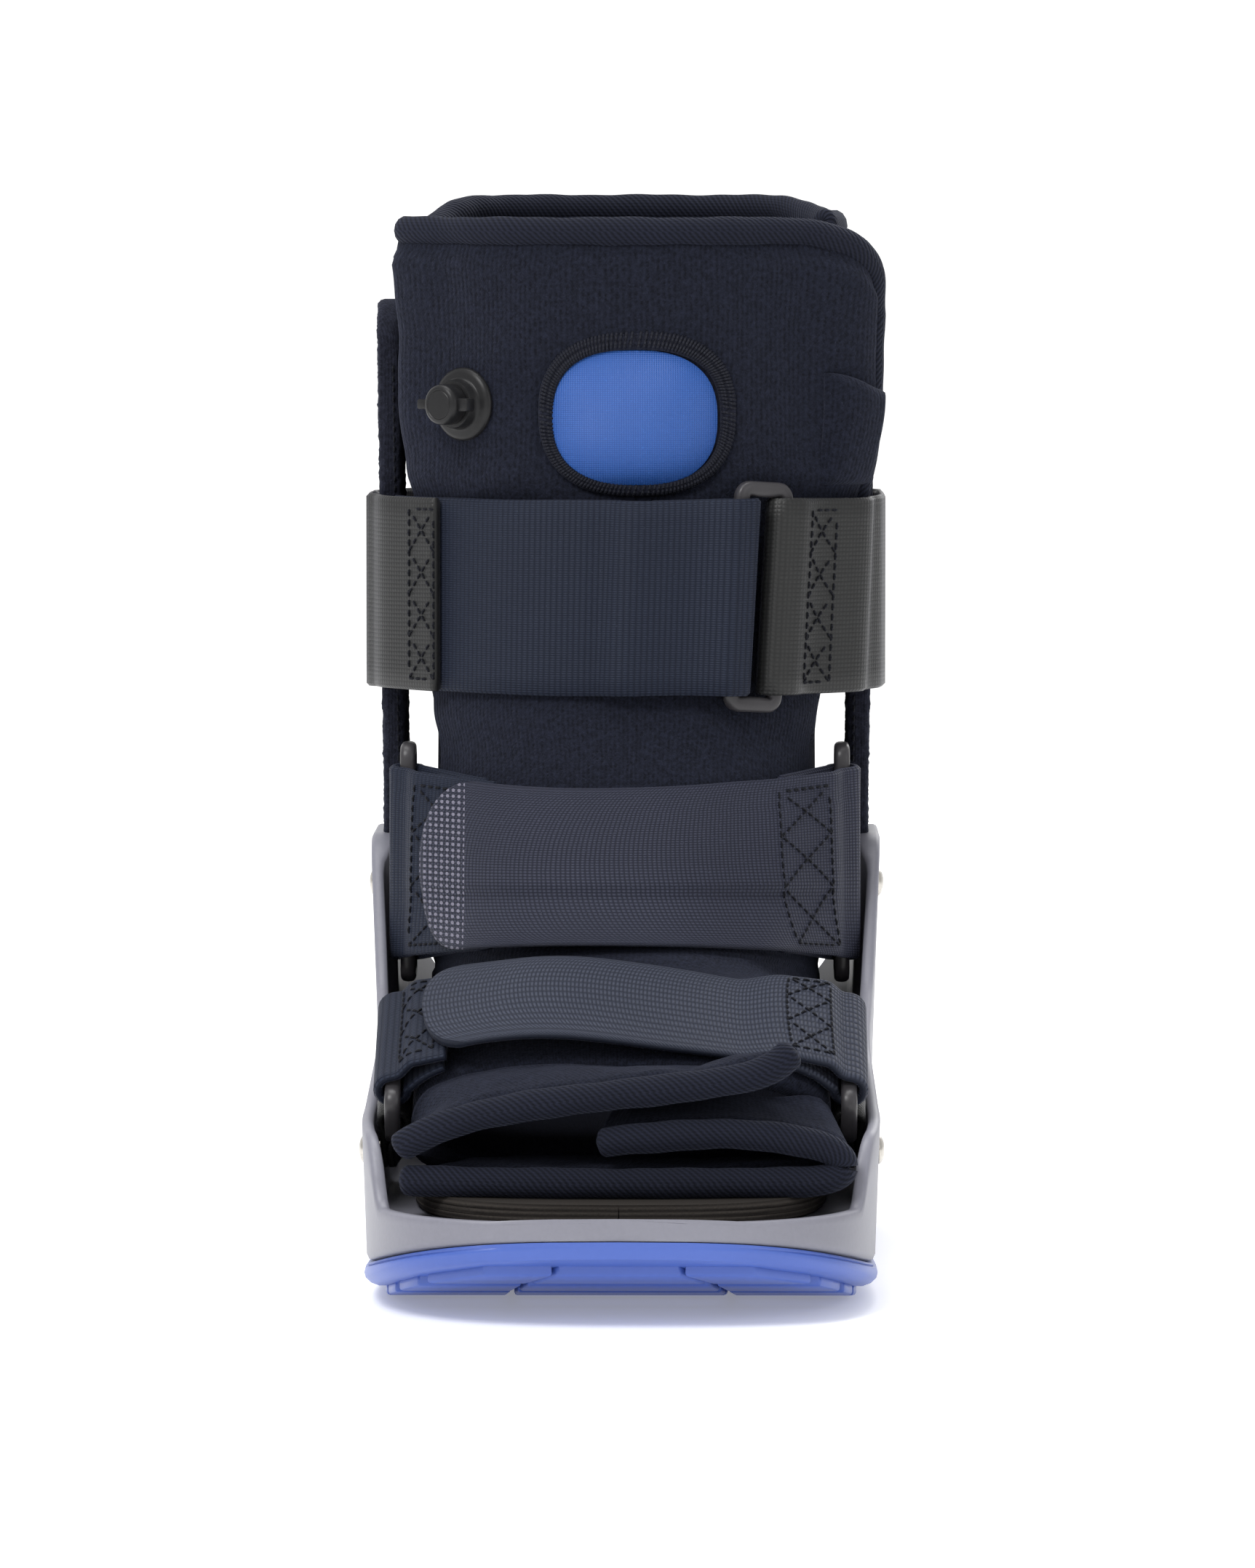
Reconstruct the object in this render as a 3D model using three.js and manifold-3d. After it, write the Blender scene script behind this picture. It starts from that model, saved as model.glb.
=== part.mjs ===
import * as THREE from 'three';
import { mergeVertices } from 'three/addons/utils/BufferGeometryUtils.js';
import Module from 'manifold-3d';

const wasm = await Module();
wasm.setup();

// A short walking boot, toe towards -Y, sole on z = 0, in millimetres.
// The origin lies on the flat of the sole, under the middle of the foot.

// Sole and shell
const toeReach = 146;
const heelReach = 142;
const baseWidth = 126;
const shellUnderside = 8.8;
const floorHeight = 24;
const toeRimHeight = 5.3;
const wallThickness = 2.6;
const armThickness = 5.3;
const armHeight = 107;
const wallLean = 0.033;
const toeSpringStart = 60;
const toeSpring = 13.4;
const outsoleToeLift = 15.4;
const heelLift = 5;
const flatHeelEnd = 96;
const grooveWidth = 3;
const grooveDepth = 2.5;
const grooveSpacing = 18;
const treadColumn = 58;
const treadReach = 100;

// Uprights and their rivets
const uprightWidth = 34;
const uprightThickness = 6.3;
const uprightHeight = 165;
const uprightBelowArm = 26;
const uprightFoot = armHeight - uprightBelowArm;
const uprightForward = 55;
const uprightSpread = 63.4;
const uprightLean = 0.0125;
const rivetBelowArm = 14.2;
const rivetHeight = armHeight - rivetBelowArm;
const rivetShank = 2.2;
const rivetHead = 3.7;
const rivetDome = 1.4;

// Liner
const footbedThickness = 5.2;
const foamSetback = 9;
const linerWidth = 112;
const linerWall = 6;
const collarHeight = 270;
const flapThickness = 6;
const bindingRadius = 3.4;
const wrapThickness = 6.2;
const toeBindingRadius = 3.3;
const panelThickness = 2.2;
const panelSlant = 0.12;
const flapLift = 6;

// Straps
const strapThickness = 2.2;
const legStrapWidth = 50;
const legStrapHeight = 170.5;
const buckleWidth = 17;
const buckleBar = 4;
const buckleRoom = 1;
const buckleHeight = legStrapWidth + buckleRoom + 2 * buckleBar;
const buckleThickness = 3.4;
const buckleAcross = 31.5;
const buckleTilt = 3.8;
const ringBar = 4;
const ankleRingLength = 62;
const ankleRingWidth = 15;
const ankleRingAcross = 56;
const ankleRingBehind = 13;
const ankleRingHeight = 101;
const footRingLength = 50;
const footRingWidth = 15;
const footRingAcross = 56.3;
const footRingAlongToe = 0.4815;
const footRingForward = footRingAlongToe * toeReach;
const footRingHeight = 60.8;
const anchorThickness = 1.8;
const anchorSetIn = 13;
const footRivetBehindRing = 4.3;
const footRivetForward = footRingForward - footRivetBehindRing;
const footRivetHeight = 35.5;
const footSlantAngle = 28;
const ankleTabEnd = -30;
const ankleTipEnd = -46;
const ankleFoldEnd = 40;
const footTabEnd = -28;
const footTipEnd = -48;
const footFoldEnd = 42;
const tipRound = 13;
const tabTuck = 5;
const tabStep = 8;
const tabSlope = 13;
const navyEnd = -58;
const webbingEnd = -45;
const returnLength = 34;

// Air window and valve
const windowWidth = 43;
const windowHeight = 35;
const windowDome = 5.5;
const windowAboveStrap = 45.5;
const windowHeightAbove = legStrapHeight + windowAboveStrap;
const windowAcross = 2.3;
const valveAcross = -41;
const valveAboveStrap = 49;
const valveHeightAbove = legStrapHeight + valveAboveStrap;
const flangeRadius = 9.4;
const flangeThickness = 2;
const bossRadius = 6.2;
const bossLength = 3.2;
const capRadius = 5.2;
const capLength = 5;
const capPin = 2.4;
const capPinLength = 2.6;

// Clearances
const fitGap = 0.3;
const clothGap = 0.5;
const layerGap = 0.6;

// Values that follow from the sizes above
const baseHalf = baseWidth / 2;
const foamBottom = floorHeight + fitGap;
const footbed = foamBottom + footbedThickness + fitGap;
const linerHalf = linerWidth / 2;
const degrees = Math.PI / 180;
const ankleShank = armThickness + uprightThickness + anchorThickness;
const footShank = wallThickness + 2 * anchorThickness;

// Outline of the sole, seen from above: half widths as shares of half the base width
const waist = [
  { forward: -1, half: 0.80 },
  { forward: -0.70, half: 0.90 },
  { forward: -0.56, half: 1 },
  { forward: -0.20, half: 1 },
  { forward: 0.14, half: 0.965 },
  { forward: 0.48, half: 1 },
  { forward: 1, half: 1 },
];

// Top of the side wall: heights as shares of the arm height
const wallTop = [
  { forward: -1, up: 0.53 },
  { forward: -0.82, up: 0.57 },
  { forward: -0.68, up: 0.70 },
  { forward: -0.57, up: 0.97 },
  { forward: -0.52, up: 1 },
  { forward: -0.25, up: 1 },
  { forward: -0.20, up: 0.97 },
  { forward: -0.12, up: 0.85 },
  { forward: 0, up: 0.67 },
  { forward: 0.20, up: 0.53 },
  { forward: 0.45, up: 0.435 },
  { forward: 0.62, up: 0.415 },
  { forward: 0.71, up: 0.405 },
  { forward: 0.745, up: 0.36 },
  { forward: 0.78, up: 0.26 },
];

// Sections of the liner from the ball of the foot over the instep to the collar.
// forward and up place the front and back point of each section, as shares of the toe or
// heel reach and of the height from footbed to collar; half is a share of the liner's half width.
const sectionColumns = ['frontForward', 'frontUp', 'backForward', 'backUp', 'half', 'front', 'back'];
const linerSections = [
  [0.637, 0.125, 0.527, 0, 0.93, 2.8, 6],
  [0.390, 0.197, 0.212, 0, 0.92, 2.5, 6],
  [0.370, 0.204, -0.18, 0, 0.915, 2.4, 5],
  [0.349, 0.211, -0.60, 0, 0.91, 2.4, 4],
  [0.329, 0.218, -0.86, 0.02, 0.905, 2.4, 3.2],
  [0.301, 0.225, -0.955, 0.115, 0.90, 2.4, 2.8],
  [0.185, 0.311, -0.965, 0.285, 0.885, 2.4, 2.5],
  [0.089, 0.396, -0.944, 0.451, 0.88, 2.3, 2.4],
  [0.014, 0.478, -0.93, 0.516, 0.93, 2.3, 2.3],
  [-0.021, 0.572, -0.93, 0.593, 0.975, 2.4, 2.3],
  [-0.028, 0.700, -0.944, 0.700, 1, 2.5, 2.3],
  [-0.021, 0.850, -0.965, 0.850, 1, 2.5, 2.3],
  [0, 0.985, -0.986, 0.99, 1.03, 2.5, 2.3],
].map((row) => Object.fromEntries(row.map((value, i) => [sectionColumns[i], value])));
const ballSection = 0;
const footRows = [0, 0.5, 1, 2, 3, 4, 4.5, 5, 5.49];
const legRows = [5.51, 6, 6.5, 7, 7.5, 8, 9, 10, 11, 12];
const flapStart = 6;
const collarSection = linerSections.length - 1;

// Front edge of the toe wraps: shares of half the liner width and of the footbed-to-collar height
const leftWrapEdge = [
  { across: -0.97, up: 0.043, backTurn: -150 },
  { across: -0.88, up: 0.058, backTurn: -105 },
  { across: -0.68, up: 0.077, backTurn: -78 },
  { across: -0.40, up: 0.092, backTurn: -50 },
  { across: -0.05, up: 0.103, backTurn: -22 },
  { across: 0.25, up: 0.111, backTurn: 3 },
  { across: 0.50, up: 0.119, backTurn: 20 },
  { across: 0.66, up: 0.130, backTurn: 31 },
  { across: 0.76, up: 0.150, backTurn: 38 },
];
const rightWrapEdge = [
  { across: -0.96, up: 0.014, backTurn: -165 },
  { across: -0.50, up: 0.014, backTurn: -174 },
  { across: 0, up: 0.014, backTurn: 180 },
  { across: 0.50, up: 0.014, backTurn: 171 },
  { across: 0.82, up: 0.014, backTurn: 158 },
  { across: 0.95, up: 0.020, backTurn: 125 },
  { across: 0.97, up: 0.034, backTurn: 100 },
  { across: 0.90, up: 0.047, backTurn: 80 },
  { across: 0.72, up: 0.058, backTurn: 58 },
  { across: 0.44, up: 0.064, backTurn: 35 },
  { across: 0.10, up: 0.060, backTurn: 14 },
  { across: -0.10, up: 0.055, backTurn: 0 },
];
const wrapOverlap = 62;
const toeEdgeForward = 0.81;
const toeEdgeCurve = 0.05;

// Colours, roughness and metalness of the finishes
const finishes = {
  navyCloth: { color: 0x252a3c, roughness: 0.95, metalness: 0 },
  binding: { color: 0x1d2130, roughness: 0.9, metalness: 0 },
  grayPlastic: { color: 0x94949c, roughness: 0.5, metalness: 0 },
  blueRubber: { color: 0x4f63b0, roughness: 0.6, metalness: 0 },
  blueCloth: { color: 0x4a74c4, roughness: 0.85, metalness: 0 },
  foam: { color: 0x5a5550, roughness: 0.95, metalness: 0 },
  webbing: { color: 0x444446, roughness: 0.8, metalness: 0 },
  strapCloth: { color: 0x3b3e49, roughness: 0.9, metalness: 0 },
  loopCloth: { color: 0x1b1d26, roughness: 1, metalness: 0 },
  darkPlastic: { color: 0x5d5b62, roughness: 0.45, metalness: 0 },
  steel: { color: 0xb9b7b0, roughness: 0.35, metalness: 1 },
};

const group = new THREE.Group();

// Adds a named mesh to the boot
function addPiece(name, geometry, finish, parent = group) {
  const mesh = new THREE.Mesh(geometry, new THREE.MeshStandardMaterial(finishes[finish]));
  mesh.name = name;
  parent.add(mesh);
  return mesh;
}

// Booleans between closed geometries
function toSolid(geometry) {
  const bare = geometry.clone();
  bare.deleteAttribute('normal');
  bare.deleteAttribute('uv');
  const merged = mergeVertices(bare, 1e-4);
  const vertProperties = Float32Array.from(merged.attributes.position.array);
  const triVerts = Uint32Array.from(merged.index.array);
  return new wasm.Manifold(new wasm.Mesh({ numProp: 3, vertProperties, triVerts }));
}

function toGeometry(solid) {
  const mesh = solid.getMesh();
  const geometry = new THREE.BufferGeometry();
  geometry.setAttribute('position', new THREE.BufferAttribute(Float32Array.from(mesh.vertProperties), 3));
  geometry.setIndex(Array.from(mesh.triVerts));
  geometry.computeVertexNormals();
  return geometry;
}

function cut(geometry, tools) {
  let solid = toSolid(geometry);
  for (const tool of tools) {
    solid = solid.subtract(toSolid(tool));
  }
  return toGeometry(solid);
}

// Small number helpers
const clamp = (value, low, high) => Math.min(high, Math.max(low, value));
const mix = (from, to, share) => from + (to - from) * share;

function smooth(value, from, to) {
  const share = clamp((value - from) / (to - from), 0, 1);
  return share * share * (3 - 2 * share);
}

const power = (value, exponent) => Math.sign(value) * Math.abs(value) ** exponent;
const spread = (count, from, to) => Array.from({ length: count }, (_, i) => mix(from, to, i / (count - 1)));

// Value of a column between the rows of a table, without overshoot
function column(rows, position, name) {
  const index = clamp(Math.floor(position), 0, rows.length - 2);
  const slope = (i) => {
    if (i <= 0 || i >= rows.length - 1) {
      return 0;
    }
    const before = rows[i][name] - rows[i - 1][name];
    const after = rows[i + 1][name] - rows[i][name];
    return before * after > 0 ? 2 * before * after / (before + after) : 0;
  };
  const step = rows[index + 1][name] - rows[index][name];
  const start = index === 0 ? step : slope(index);
  const end = index === rows.length - 2 ? step : slope(index + 1);
  const u = position - index;
  const bend = start * (u - 2 * u * u + u * u * u) + end * (u * u * u - u * u);
  return rows[index][name] + step * (3 * u * u - 2 * u * u * u) + bend;
}

// Value of a table whose rows are ordered by the forward share
function alongFoot(rows, y, name) {
  const forward = y < 0 ? -y / toeReach : -y / heelReach;
  let i = 0;
  while (i < rows.length - 2 && rows[i + 1].forward < forward) {
    i += 1;
  }
  const share = clamp((forward - rows[i].forward) / (rows[i + 1].forward - rows[i].forward), 0, 1);
  return mix(rows[i][name], rows[i + 1][name], share);
}

const placeAlong = (forward) => (forward > 0 ? -forward * toeReach : -forward * heelReach);
const heightAt = (share) => footbed + share * (collarHeight - footbed);

// Closed skin over a list of polygons with equal point counts, with flat or bowed end caps
function loft(polygons) {
  const count = polygons[0].length;
  const positions = polygons.flat().flatMap((p) => [p.x, p.y, p.z]);
  const index = [];
  for (let i = 0; i < polygons.length - 1; i += 1) {
    for (let j = 0; j < count; j += 1) {
      const a = i * count + j;
      const b = i * count + (j + 1) % count;
      index.push(a, b, a + count, b, b + count, a + count);
    }
  }
  const capOf = (polygon, first, flip) => {
    for (const [a, b, c] of THREE.ShapeUtils.triangulateShape(flatten(polygon), [])) {
      index.push(...(flip ? [first + c, first + b, first + a] : [first + a, first + b, first + c]));
    }
  };
  capOf(polygons[0], 0, true);
  capOf(polygons.at(-1), (polygons.length - 1) * count, false);
  return outward(positions, index);
}

// A polygon in space laid out in its own plane
function flatten(polygon) {
  const normal = new THREE.Vector3();
  polygon.forEach((p, i) => normal.add(p.clone().cross(polygon[(i + 1) % polygon.length])));
  normal.normalize();
  const turn = new THREE.Quaternion().setFromUnitVectors(normal, new THREE.Vector3(0, 0, 1));
  return polygon.map((p) => {
    const flat = p.clone().applyQuaternion(turn);
    return new THREE.Vector2(flat.x, flat.y);
  });
}

// Closed wall between an outer and an inner ring of points at each section
function tube(outerRings, innerRings) {
  const count = outerRings[0].length;
  const rows = outerRings.length;
  const positions = [...outerRings, ...innerRings].flat().flatMap((p) => [p.x, p.y, p.z]);
  const index = [];
  const quad = (a, b, c, d) => index.push(a, b, c, b, d, c);
  const inner = rows * count;
  for (let j = 0; j < count; j += 1) {
    const k = (j + 1) % count;
    for (let i = 0; i < rows - 1; i += 1) {
      quad(i * count + j, i * count + k, (i + 1) * count + j, (i + 1) * count + k);
      const near = inner + i * count;
      const far = near + count;
      quad(near + k, near + j, far + k, far + j);
    }
    const last = (rows - 1) * count;
    quad(k, j, inner + k, inner + j);
    quad(last + j, last + k, inner + last + j, inner + last + k);
  }
  return outward(positions, index);
}

// Geometry from positions and triangles, turned so that its faces point out
function outward(positions, index) {
  let volume = 0;
  const at = (i) => new THREE.Vector3(positions[3 * i], positions[3 * i + 1], positions[3 * i + 2]);
  for (let i = 0; i < index.length; i += 3) {
    volume += at(index[i]).dot(at(index[i + 1]).cross(at(index[i + 2])));
  }
  if (volume < 0) {
    for (let i = 0; i < index.length; i += 3) {
      [index[i + 1], index[i + 2]] = [index[i + 2], index[i + 1]];
    }
  }
  const geometry = new THREE.BufferGeometry();
  geometry.setAttribute('position', new THREE.Float32BufferAttribute(positions, 3));
  geometry.setIndex(index);
  geometry.computeVertexNormals();
  return geometry;
}

// Polygon round a flat path with the given thickness
function thicken(path, thickness) {
  const sides = [1, -1].map((side) => path.map((p, i) => {
    const before = path[Math.max(0, i - 1)];
    const after = path[Math.min(path.length - 1, i + 1)];
    const length = Math.hypot(after.a - before.a, after.b - before.b);
    const reach = side * thickness / 2 / length;
    return { a: p.a - (after.b - before.b) * reach, b: p.b + (after.a - before.a) * reach };
  }));
  return [...sides[0], ...sides[1].reverse()];
}

// Section of the liner: its middle, its direction towards the front and its form
function sectionAt(position) {
  const value = (name) => column(linerSections, position, name);
  const frontY = -value('frontForward') * (value('frontForward') > 0 ? toeReach : heelReach);
  const backY = placeAlong(value('backForward'));
  const frontZ = heightAt(value('frontUp'));
  const backZ = heightAt(value('backUp'));
  const length = Math.hypot(frontY - backY, frontZ - backZ);
  return {
    y: (frontY + backY) / 2,
    z: (frontZ + backZ) / 2,
    dirY: (frontY - backY) / length,
    dirZ: (frontZ - backZ) / length,
    depth: length / 2,
    half: value('half') * linerHalf,
    front: value('front'),
    back: value('back'),
  };
}

// Point of a section's outline at a turn from the front, moved out by grow
function outlinePoint(section, turn, grow) {
  const angle = turn * degrees;
  const exponent = Math.cos(angle) >= 0 ? section.front : section.back;
  return {
    a: (section.half + grow) * power(Math.sin(angle), 2 / exponent),
    b: (section.depth + grow) * power(Math.cos(angle), 2 / exponent),
  };
}

const inSpace = (section, p) => new THREE.Vector3(
  p.a,
  section.y + section.dirY * p.b,
  section.z + section.dirZ * p.b,
);

const linerPoint = (position, turn, grow) => {
  const section = sectionAt(position);
  return inSpace(section, outlinePoint(section, turn, grow));
};

// Sole outline
const roundEnd = (share, exponent) => Math.max(0.1, (1 - clamp(share, 0, 1) ** exponent) ** (1 / exponent));
const toeArcStart = 70;
const heelArcStart = 85;

function halfWidthAt(y, inset) {
  const toe = roundEnd((-y - toeArcStart) / (toeReach - inset - toeArcStart), 3);
  const heel = roundEnd((y - heelArcStart) / (heelReach - inset - heelArcStart), 2.6);
  return (baseHalf * alongFoot(waist, y, 'half') - inset) * toe * heel;
}

const springShare = (y) => (Math.max(0, -y - toeSpringStart) / (toeReach - toeSpringStart)) ** 2;
const heelShare = (y) => (Math.max(0, y - flatHeelEnd) / (heelReach - flatHeelEnd)) ** 2;
const shellBottomAt = (y) => shellUnderside + toeSpring * springShare(y) + heelLift * heelShare(y) / 2;
const outsoleBottomAt = (y) => outsoleToeLift * springShare(y) + heelLift * heelShare(y);

// Places along the foot where the sole and shell get a section
function solePlaces(inset) {
  const toe = [1, 0.995, 0.975, 0.94, 0.89, 0.82, 0.78, 0.745, 0.71, 0.62, 0.45, 0.2];
  const middle = [0, -0.12, -0.2, -0.25, -0.52, -0.57, -0.68, -0.82, -0.88, -0.94, -0.98, -1];
  const limit = (y) => clamp(y, -(toeReach - inset), heelReach - inset);
  return [...new Set([...toe, ...middle].map((share) => limit(placeAlong(share))))];
}

const flatSection = (y, corners) => corners.map(([x, z]) => new THREE.Vector3(x, y, z));

function outsole() {
  const body = loft(solePlaces(0).map((y) => {
    const half = halfWidthAt(y, 0);
    const low = outsoleBottomAt(y);
    const top = shellBottomAt(y) - fitGap;
    const edge = Math.min(3, half / 3);
    return flatSection(y, [
      [-half + edge, low], [half - edge, low], [half, low + 3],
      [half - 0.8, top], [-half + 0.8, top], [-half, low + 3],
    ]);
  }));
  const tools = [];
  const rows = Math.floor(treadReach / grooveSpacing);
  for (let i = -rows; i < rows; i += 1) {
    const y = (i + 0.5) * grooveSpacing;
    const groove = new THREE.BoxGeometry(baseWidth * 1.2, grooveWidth, grooveDepth * 4);
    groove.translate(0, y, outsoleBottomAt(y) - grooveDepth);
    tools.push(groove);
  }
  for (const side of [-1, 1]) {
    const length = rows * 2 * grooveSpacing;
    const groove = new THREE.BoxGeometry(grooveWidth, length, grooveDepth * 4);
    groove.translate(side * treadColumn / 2, 0, -grooveDepth);
    tools.push(groove);
  }
  return cut(body, tools);
}

function wallTopAt(y) {
  const rim = shellBottomAt(y) + toeRimHeight;
  return Math.max(rim, y < placeAlong(0.77) ? 0 : armHeight * alongFoot(wallTop, y, 'up'));
}

const armShareAt = (y) => (
  smooth(y, placeAlong(-0.17), placeAlong(-0.22)) * (1 - smooth(y, placeAlong(-0.56), placeAlong(-0.62)))
);

// Half width between the side walls, less a clearance
function cavityHalfAt(y, clearance) {
  return halfWidthAt(y, wallThickness + clearance) - (armThickness - wallThickness) * armShareAt(y);
}

function baseShell() {
  const body = loft(solePlaces(0).map((y) => {
    const half = halfWidthAt(y, 0);
    const low = shellBottomAt(y);
    const top = wallTopAt(y);
    const rise = Math.min(2, (top - low) / 3);
    const lean = wallLean * (top - low) * Math.min(1, half / baseHalf);
    return flatSection(y, [
      [-half + 1.5, low], [half - 1.5, low], [half, low + rise],
      [half + lean, top], [-half - lean, top], [-half, low + rise],
    ]);
  }));
  const cavity = loft(solePlaces(wallThickness).map((y) => {
    const half = cavityHalfAt(y, 0);
    const open = armHeight * 1.2;
    const lean = wallLean * (open - floorHeight) * Math.min(1, half / baseHalf);
    return flatSection(y, [
      [-half, floorHeight], [half, floorHeight], [half + lean, open], [-half - lean, open],
    ]);
  }));
  const tools = [cavity];
  for (const side of [-1, 1]) {
    const pocket = new THREE.BoxGeometry(20, uprightWidth + 2 * fitGap, armHeight);
    const face = uprightSpread + fitGap - 10;
    pocket.translate(side * face, uprightForward, uprightFoot - fitGap + armHeight / 2);
    tools.push(pocket);
    tools.push(rivetBore(side, uprightForward, rivetHeight));
    tools.push(rivetBore(side, -footRivetForward, footRivetHeight));
  }
  return cut(body, tools);
}

// Round bore across the boot for a rivet's shank
function rivetBore(side, y, z) {
  const bore = new THREE.CylinderGeometry(rivetShank + fitGap, rivetShank + fitGap, 40, 12);
  bore.rotateZ(Math.PI / 2);
  bore.translate(side * baseHalf, y, z);
  return bore;
}

// Outer face of the side wall at a height
function wallFaceAt(y, z) {
  const low = shellBottomAt(y);
  return halfWidthAt(y, 0) + wallLean * (z - low) * Math.min(1, halfWidthAt(y, 0) / baseHalf);
}

// Domed rivet whose shank reaches inwards
function rivet(shankLength) {
  const profile = [
    [0, rivetDome], [rivetHead * 0.5, rivetDome * 0.87], [rivetHead * 0.85, rivetDome * 0.5], [rivetHead, 0],
    [rivetShank, 0], [rivetShank, -shankLength], [0, -shankLength],
  ];
  return new THREE.LatheGeometry(profile.map(([x, y]) => new THREE.Vector2(x, y)).reverse(), 10);
}

function addRivet(name, side, y, z, shankLength) {
  const mesh = addPiece(name, rivet(shankLength), 'steel');
  mesh.rotation.z = side * -Math.PI / 2;
  mesh.position.set(side * (wallFaceAt(y, z + rivetHead) + fitGap), y, z);
}

function insoleFoam() {
  const clearance = 2 * fitGap;
  return loft(solePlaces(wallThickness + foamSetback).map((y) => {
    const half = cavityHalfAt(y, clearance);
    const top = foamBottom + footbedThickness;
    return flatSection(y, [[-half, foamBottom], [half, foamBottom], [half, top], [-half, top]]);
  }));
}

// Liner foot and leg: one padded sock in two lengths that meet at the ankle
const sockTurns = spread(25, -180, 180).slice(0, 24);

function sock(positions) {
  const ringAt = (position, grow) => sockTurns.map((turn) => linerPoint(position, turn, grow));
  const rings = (grow) => positions.map((position) => ringAt(position, grow));
  return tube(rings(0), rings(-linerWall));
}

// Front flap over the leg, from the left upright to its free edge at the right
const flapLeft = -60;
const flapRight = 60;
const flapTurns = spread(9, flapLeft, flapRight);
const flapLiftAt = (turn, position) => (
  flapLift * smooth(turn, 25, flapRight) * smooth(position, collarSection - 4, collarSection - 2)
);
const flapInner = (turn, position) => clothGap + flapLiftAt(turn, position);
const flapOuter = (turn, position) => (
  flapInner(turn, position) + flapThickness * smooth(position, flapStart - 0.7, flapStart + 0.9)
);

function flapTopAt(turn) {
  const corner = smooth(turn, 45, flapRight + 6);
  return collarSection - 0.16 - 0.55 * corner;
}

function frontFlap() {
  const rows = [...legRows.filter((row) => row >= flapStart && row < collarSection), collarSection];
  const surface = (growOf) => rows.map((row) => (
    flapTurns.map((turn) => {
      const position = Math.min(row, flapTopAt(turn));
      return linerPoint(position, turn, growOf(turn, position));
    })
  ));
  return slab(surface(flapOuter), surface(flapInner));
}

// Closed slab between two grids of points
function slab(outer, inner) {
  const polygons = outer.map((row, i) => [...row, ...inner[i].slice().reverse()]);
  const count = polygons[0].length;
  const half = count / 2;
  const positions = polygons.flat().flatMap((p) => [p.x, p.y, p.z]);
  const index = [];
  const last = (polygons.length - 1) * count;
  for (let i = 0; i < polygons.length - 1; i += 1) {
    for (let j = 0; j < count; j += 1) {
      const a = i * count + j;
      const b = i * count + (j + 1) % count;
      index.push(a, b, a + count, b, b + count, a + count);
    }
  }
  for (let j = 0; j < half - 1; j += 1) {
    const k = count - 1 - j;
    index.push(j, k, j + 1, j + 1, k, k - 1);
    index.push(last + j, last + j + 1, last + k, last + j + 1, last + k - 1, last + k);
  }
  return outward(positions, index);
}

// Round roll of binding along a run of points
function roll(points, radius, sides = 6) {
  const circle = new THREE.Shape();
  circle.setFromPoints(Array.from({ length: sides }, (_, i) => new THREE.Vector2(
    radius * Math.cos(2 * Math.PI * i / sides),
    radius * Math.sin(2 * Math.PI * i / sides),
  )));
  const curve = new THREE.CatmullRomCurve3(points, false, 'centripetal');
  const steps = Math.round(points.length * 1.5);
  return new THREE.ExtrudeGeometry(circle, { steps, bevelEnabled: false, extrudePath: curve });
}

const flapMiddle = (turn, position) => (flapInner(turn, position) + flapOuter(turn, position)) / 2;

// Moves a run of points up, square to the run
function liftAcross(points, distance) {
  return points.map((point, i) => {
    const before = points[Math.max(0, i - 1)];
    const run = points[Math.min(points.length - 1, i + 1)].clone().sub(before).normalize();
    const lift = new THREE.Vector3(0, 0, 1).addScaledVector(run, -run.z).normalize();
    return point.clone().addScaledVector(lift, distance);
  });
}

function collarBindingFront() {
  const edge = spread(11, flapLeft + 1, flapRight - 2).map((turn) => {
    const position = flapTopAt(turn);
    return linerPoint(position, turn, flapMiddle(turn, position) + clothGap);
  });
  return roll(liftAcross(edge, bindingRadius + clothGap), bindingRadius);
}

// Middle of the binding along the flap's free edge
function flapEdgeMiddle(section, position) {
  const from = outlinePoint(section, flapRight - 6, flapMiddle(flapRight, position));
  const to = outlinePoint(section, flapRight, flapMiddle(flapRight, position));
  const reach = (bindingRadius + layerGap + fitGap) / Math.hypot(to.a - from.a, to.b - from.b);
  return { a: to.a + (to.a - from.a) * reach, b: to.b + (to.b - from.b) * reach };
}

const edgeBindingStart = 7.15;

function flapEdgeBinding() {
  return roll(spread(9, edgeBindingStart, flapTopAt(flapRight) - 0.05).map((position) => {
    const section = sectionAt(position);
    return inSpace(section, flapEdgeMiddle(section, position));
  }), bindingRadius);
}

function collarBindingBack() {
  return roll(spread(14, flapRight + 15, 360 + flapLeft - 8).map((turn) => {
    const point = linerPoint(collarSection, turn, -linerWall / 2);
    point.z += bindingRadius + fitGap;
    return point;
  }), bindingRadius);
}

// Raised panel on the right of the flap, above the leg strap
function sidePanel() {
  const low = positionAtHeight(legStrapHeight + legStrapWidth / 2 + 3);
  const high = positionAtHeight(legStrapHeight + legStrapWidth / 2 + 32);
  const turns = spread(5, 44, 58);
  const surface = (lift) => spread(5, 0, 1).map((share) => turns.map((turn) => {
    const position = mix(low, high - panelSlant * smooth(turn, 44, 58), share);
    return linerPoint(position, turn, flapOuter(turn, position) + lift);
  }));
  return slab(surface(fitGap + panelThickness), surface(fitGap));
}

// Section whose front lies at a height above the floor
function positionAtHeight(z) {
  let low = ballSection;
  let high = collarSection;
  for (let i = 0; i < 30; i += 1) {
    const middle = (low + high) / 2;
    if (heightAt(column(linerSections, middle, 'frontUp')) < z) {
      low = middle;
    } else {
      high = middle;
    }
  }
  return low;
}

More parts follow.
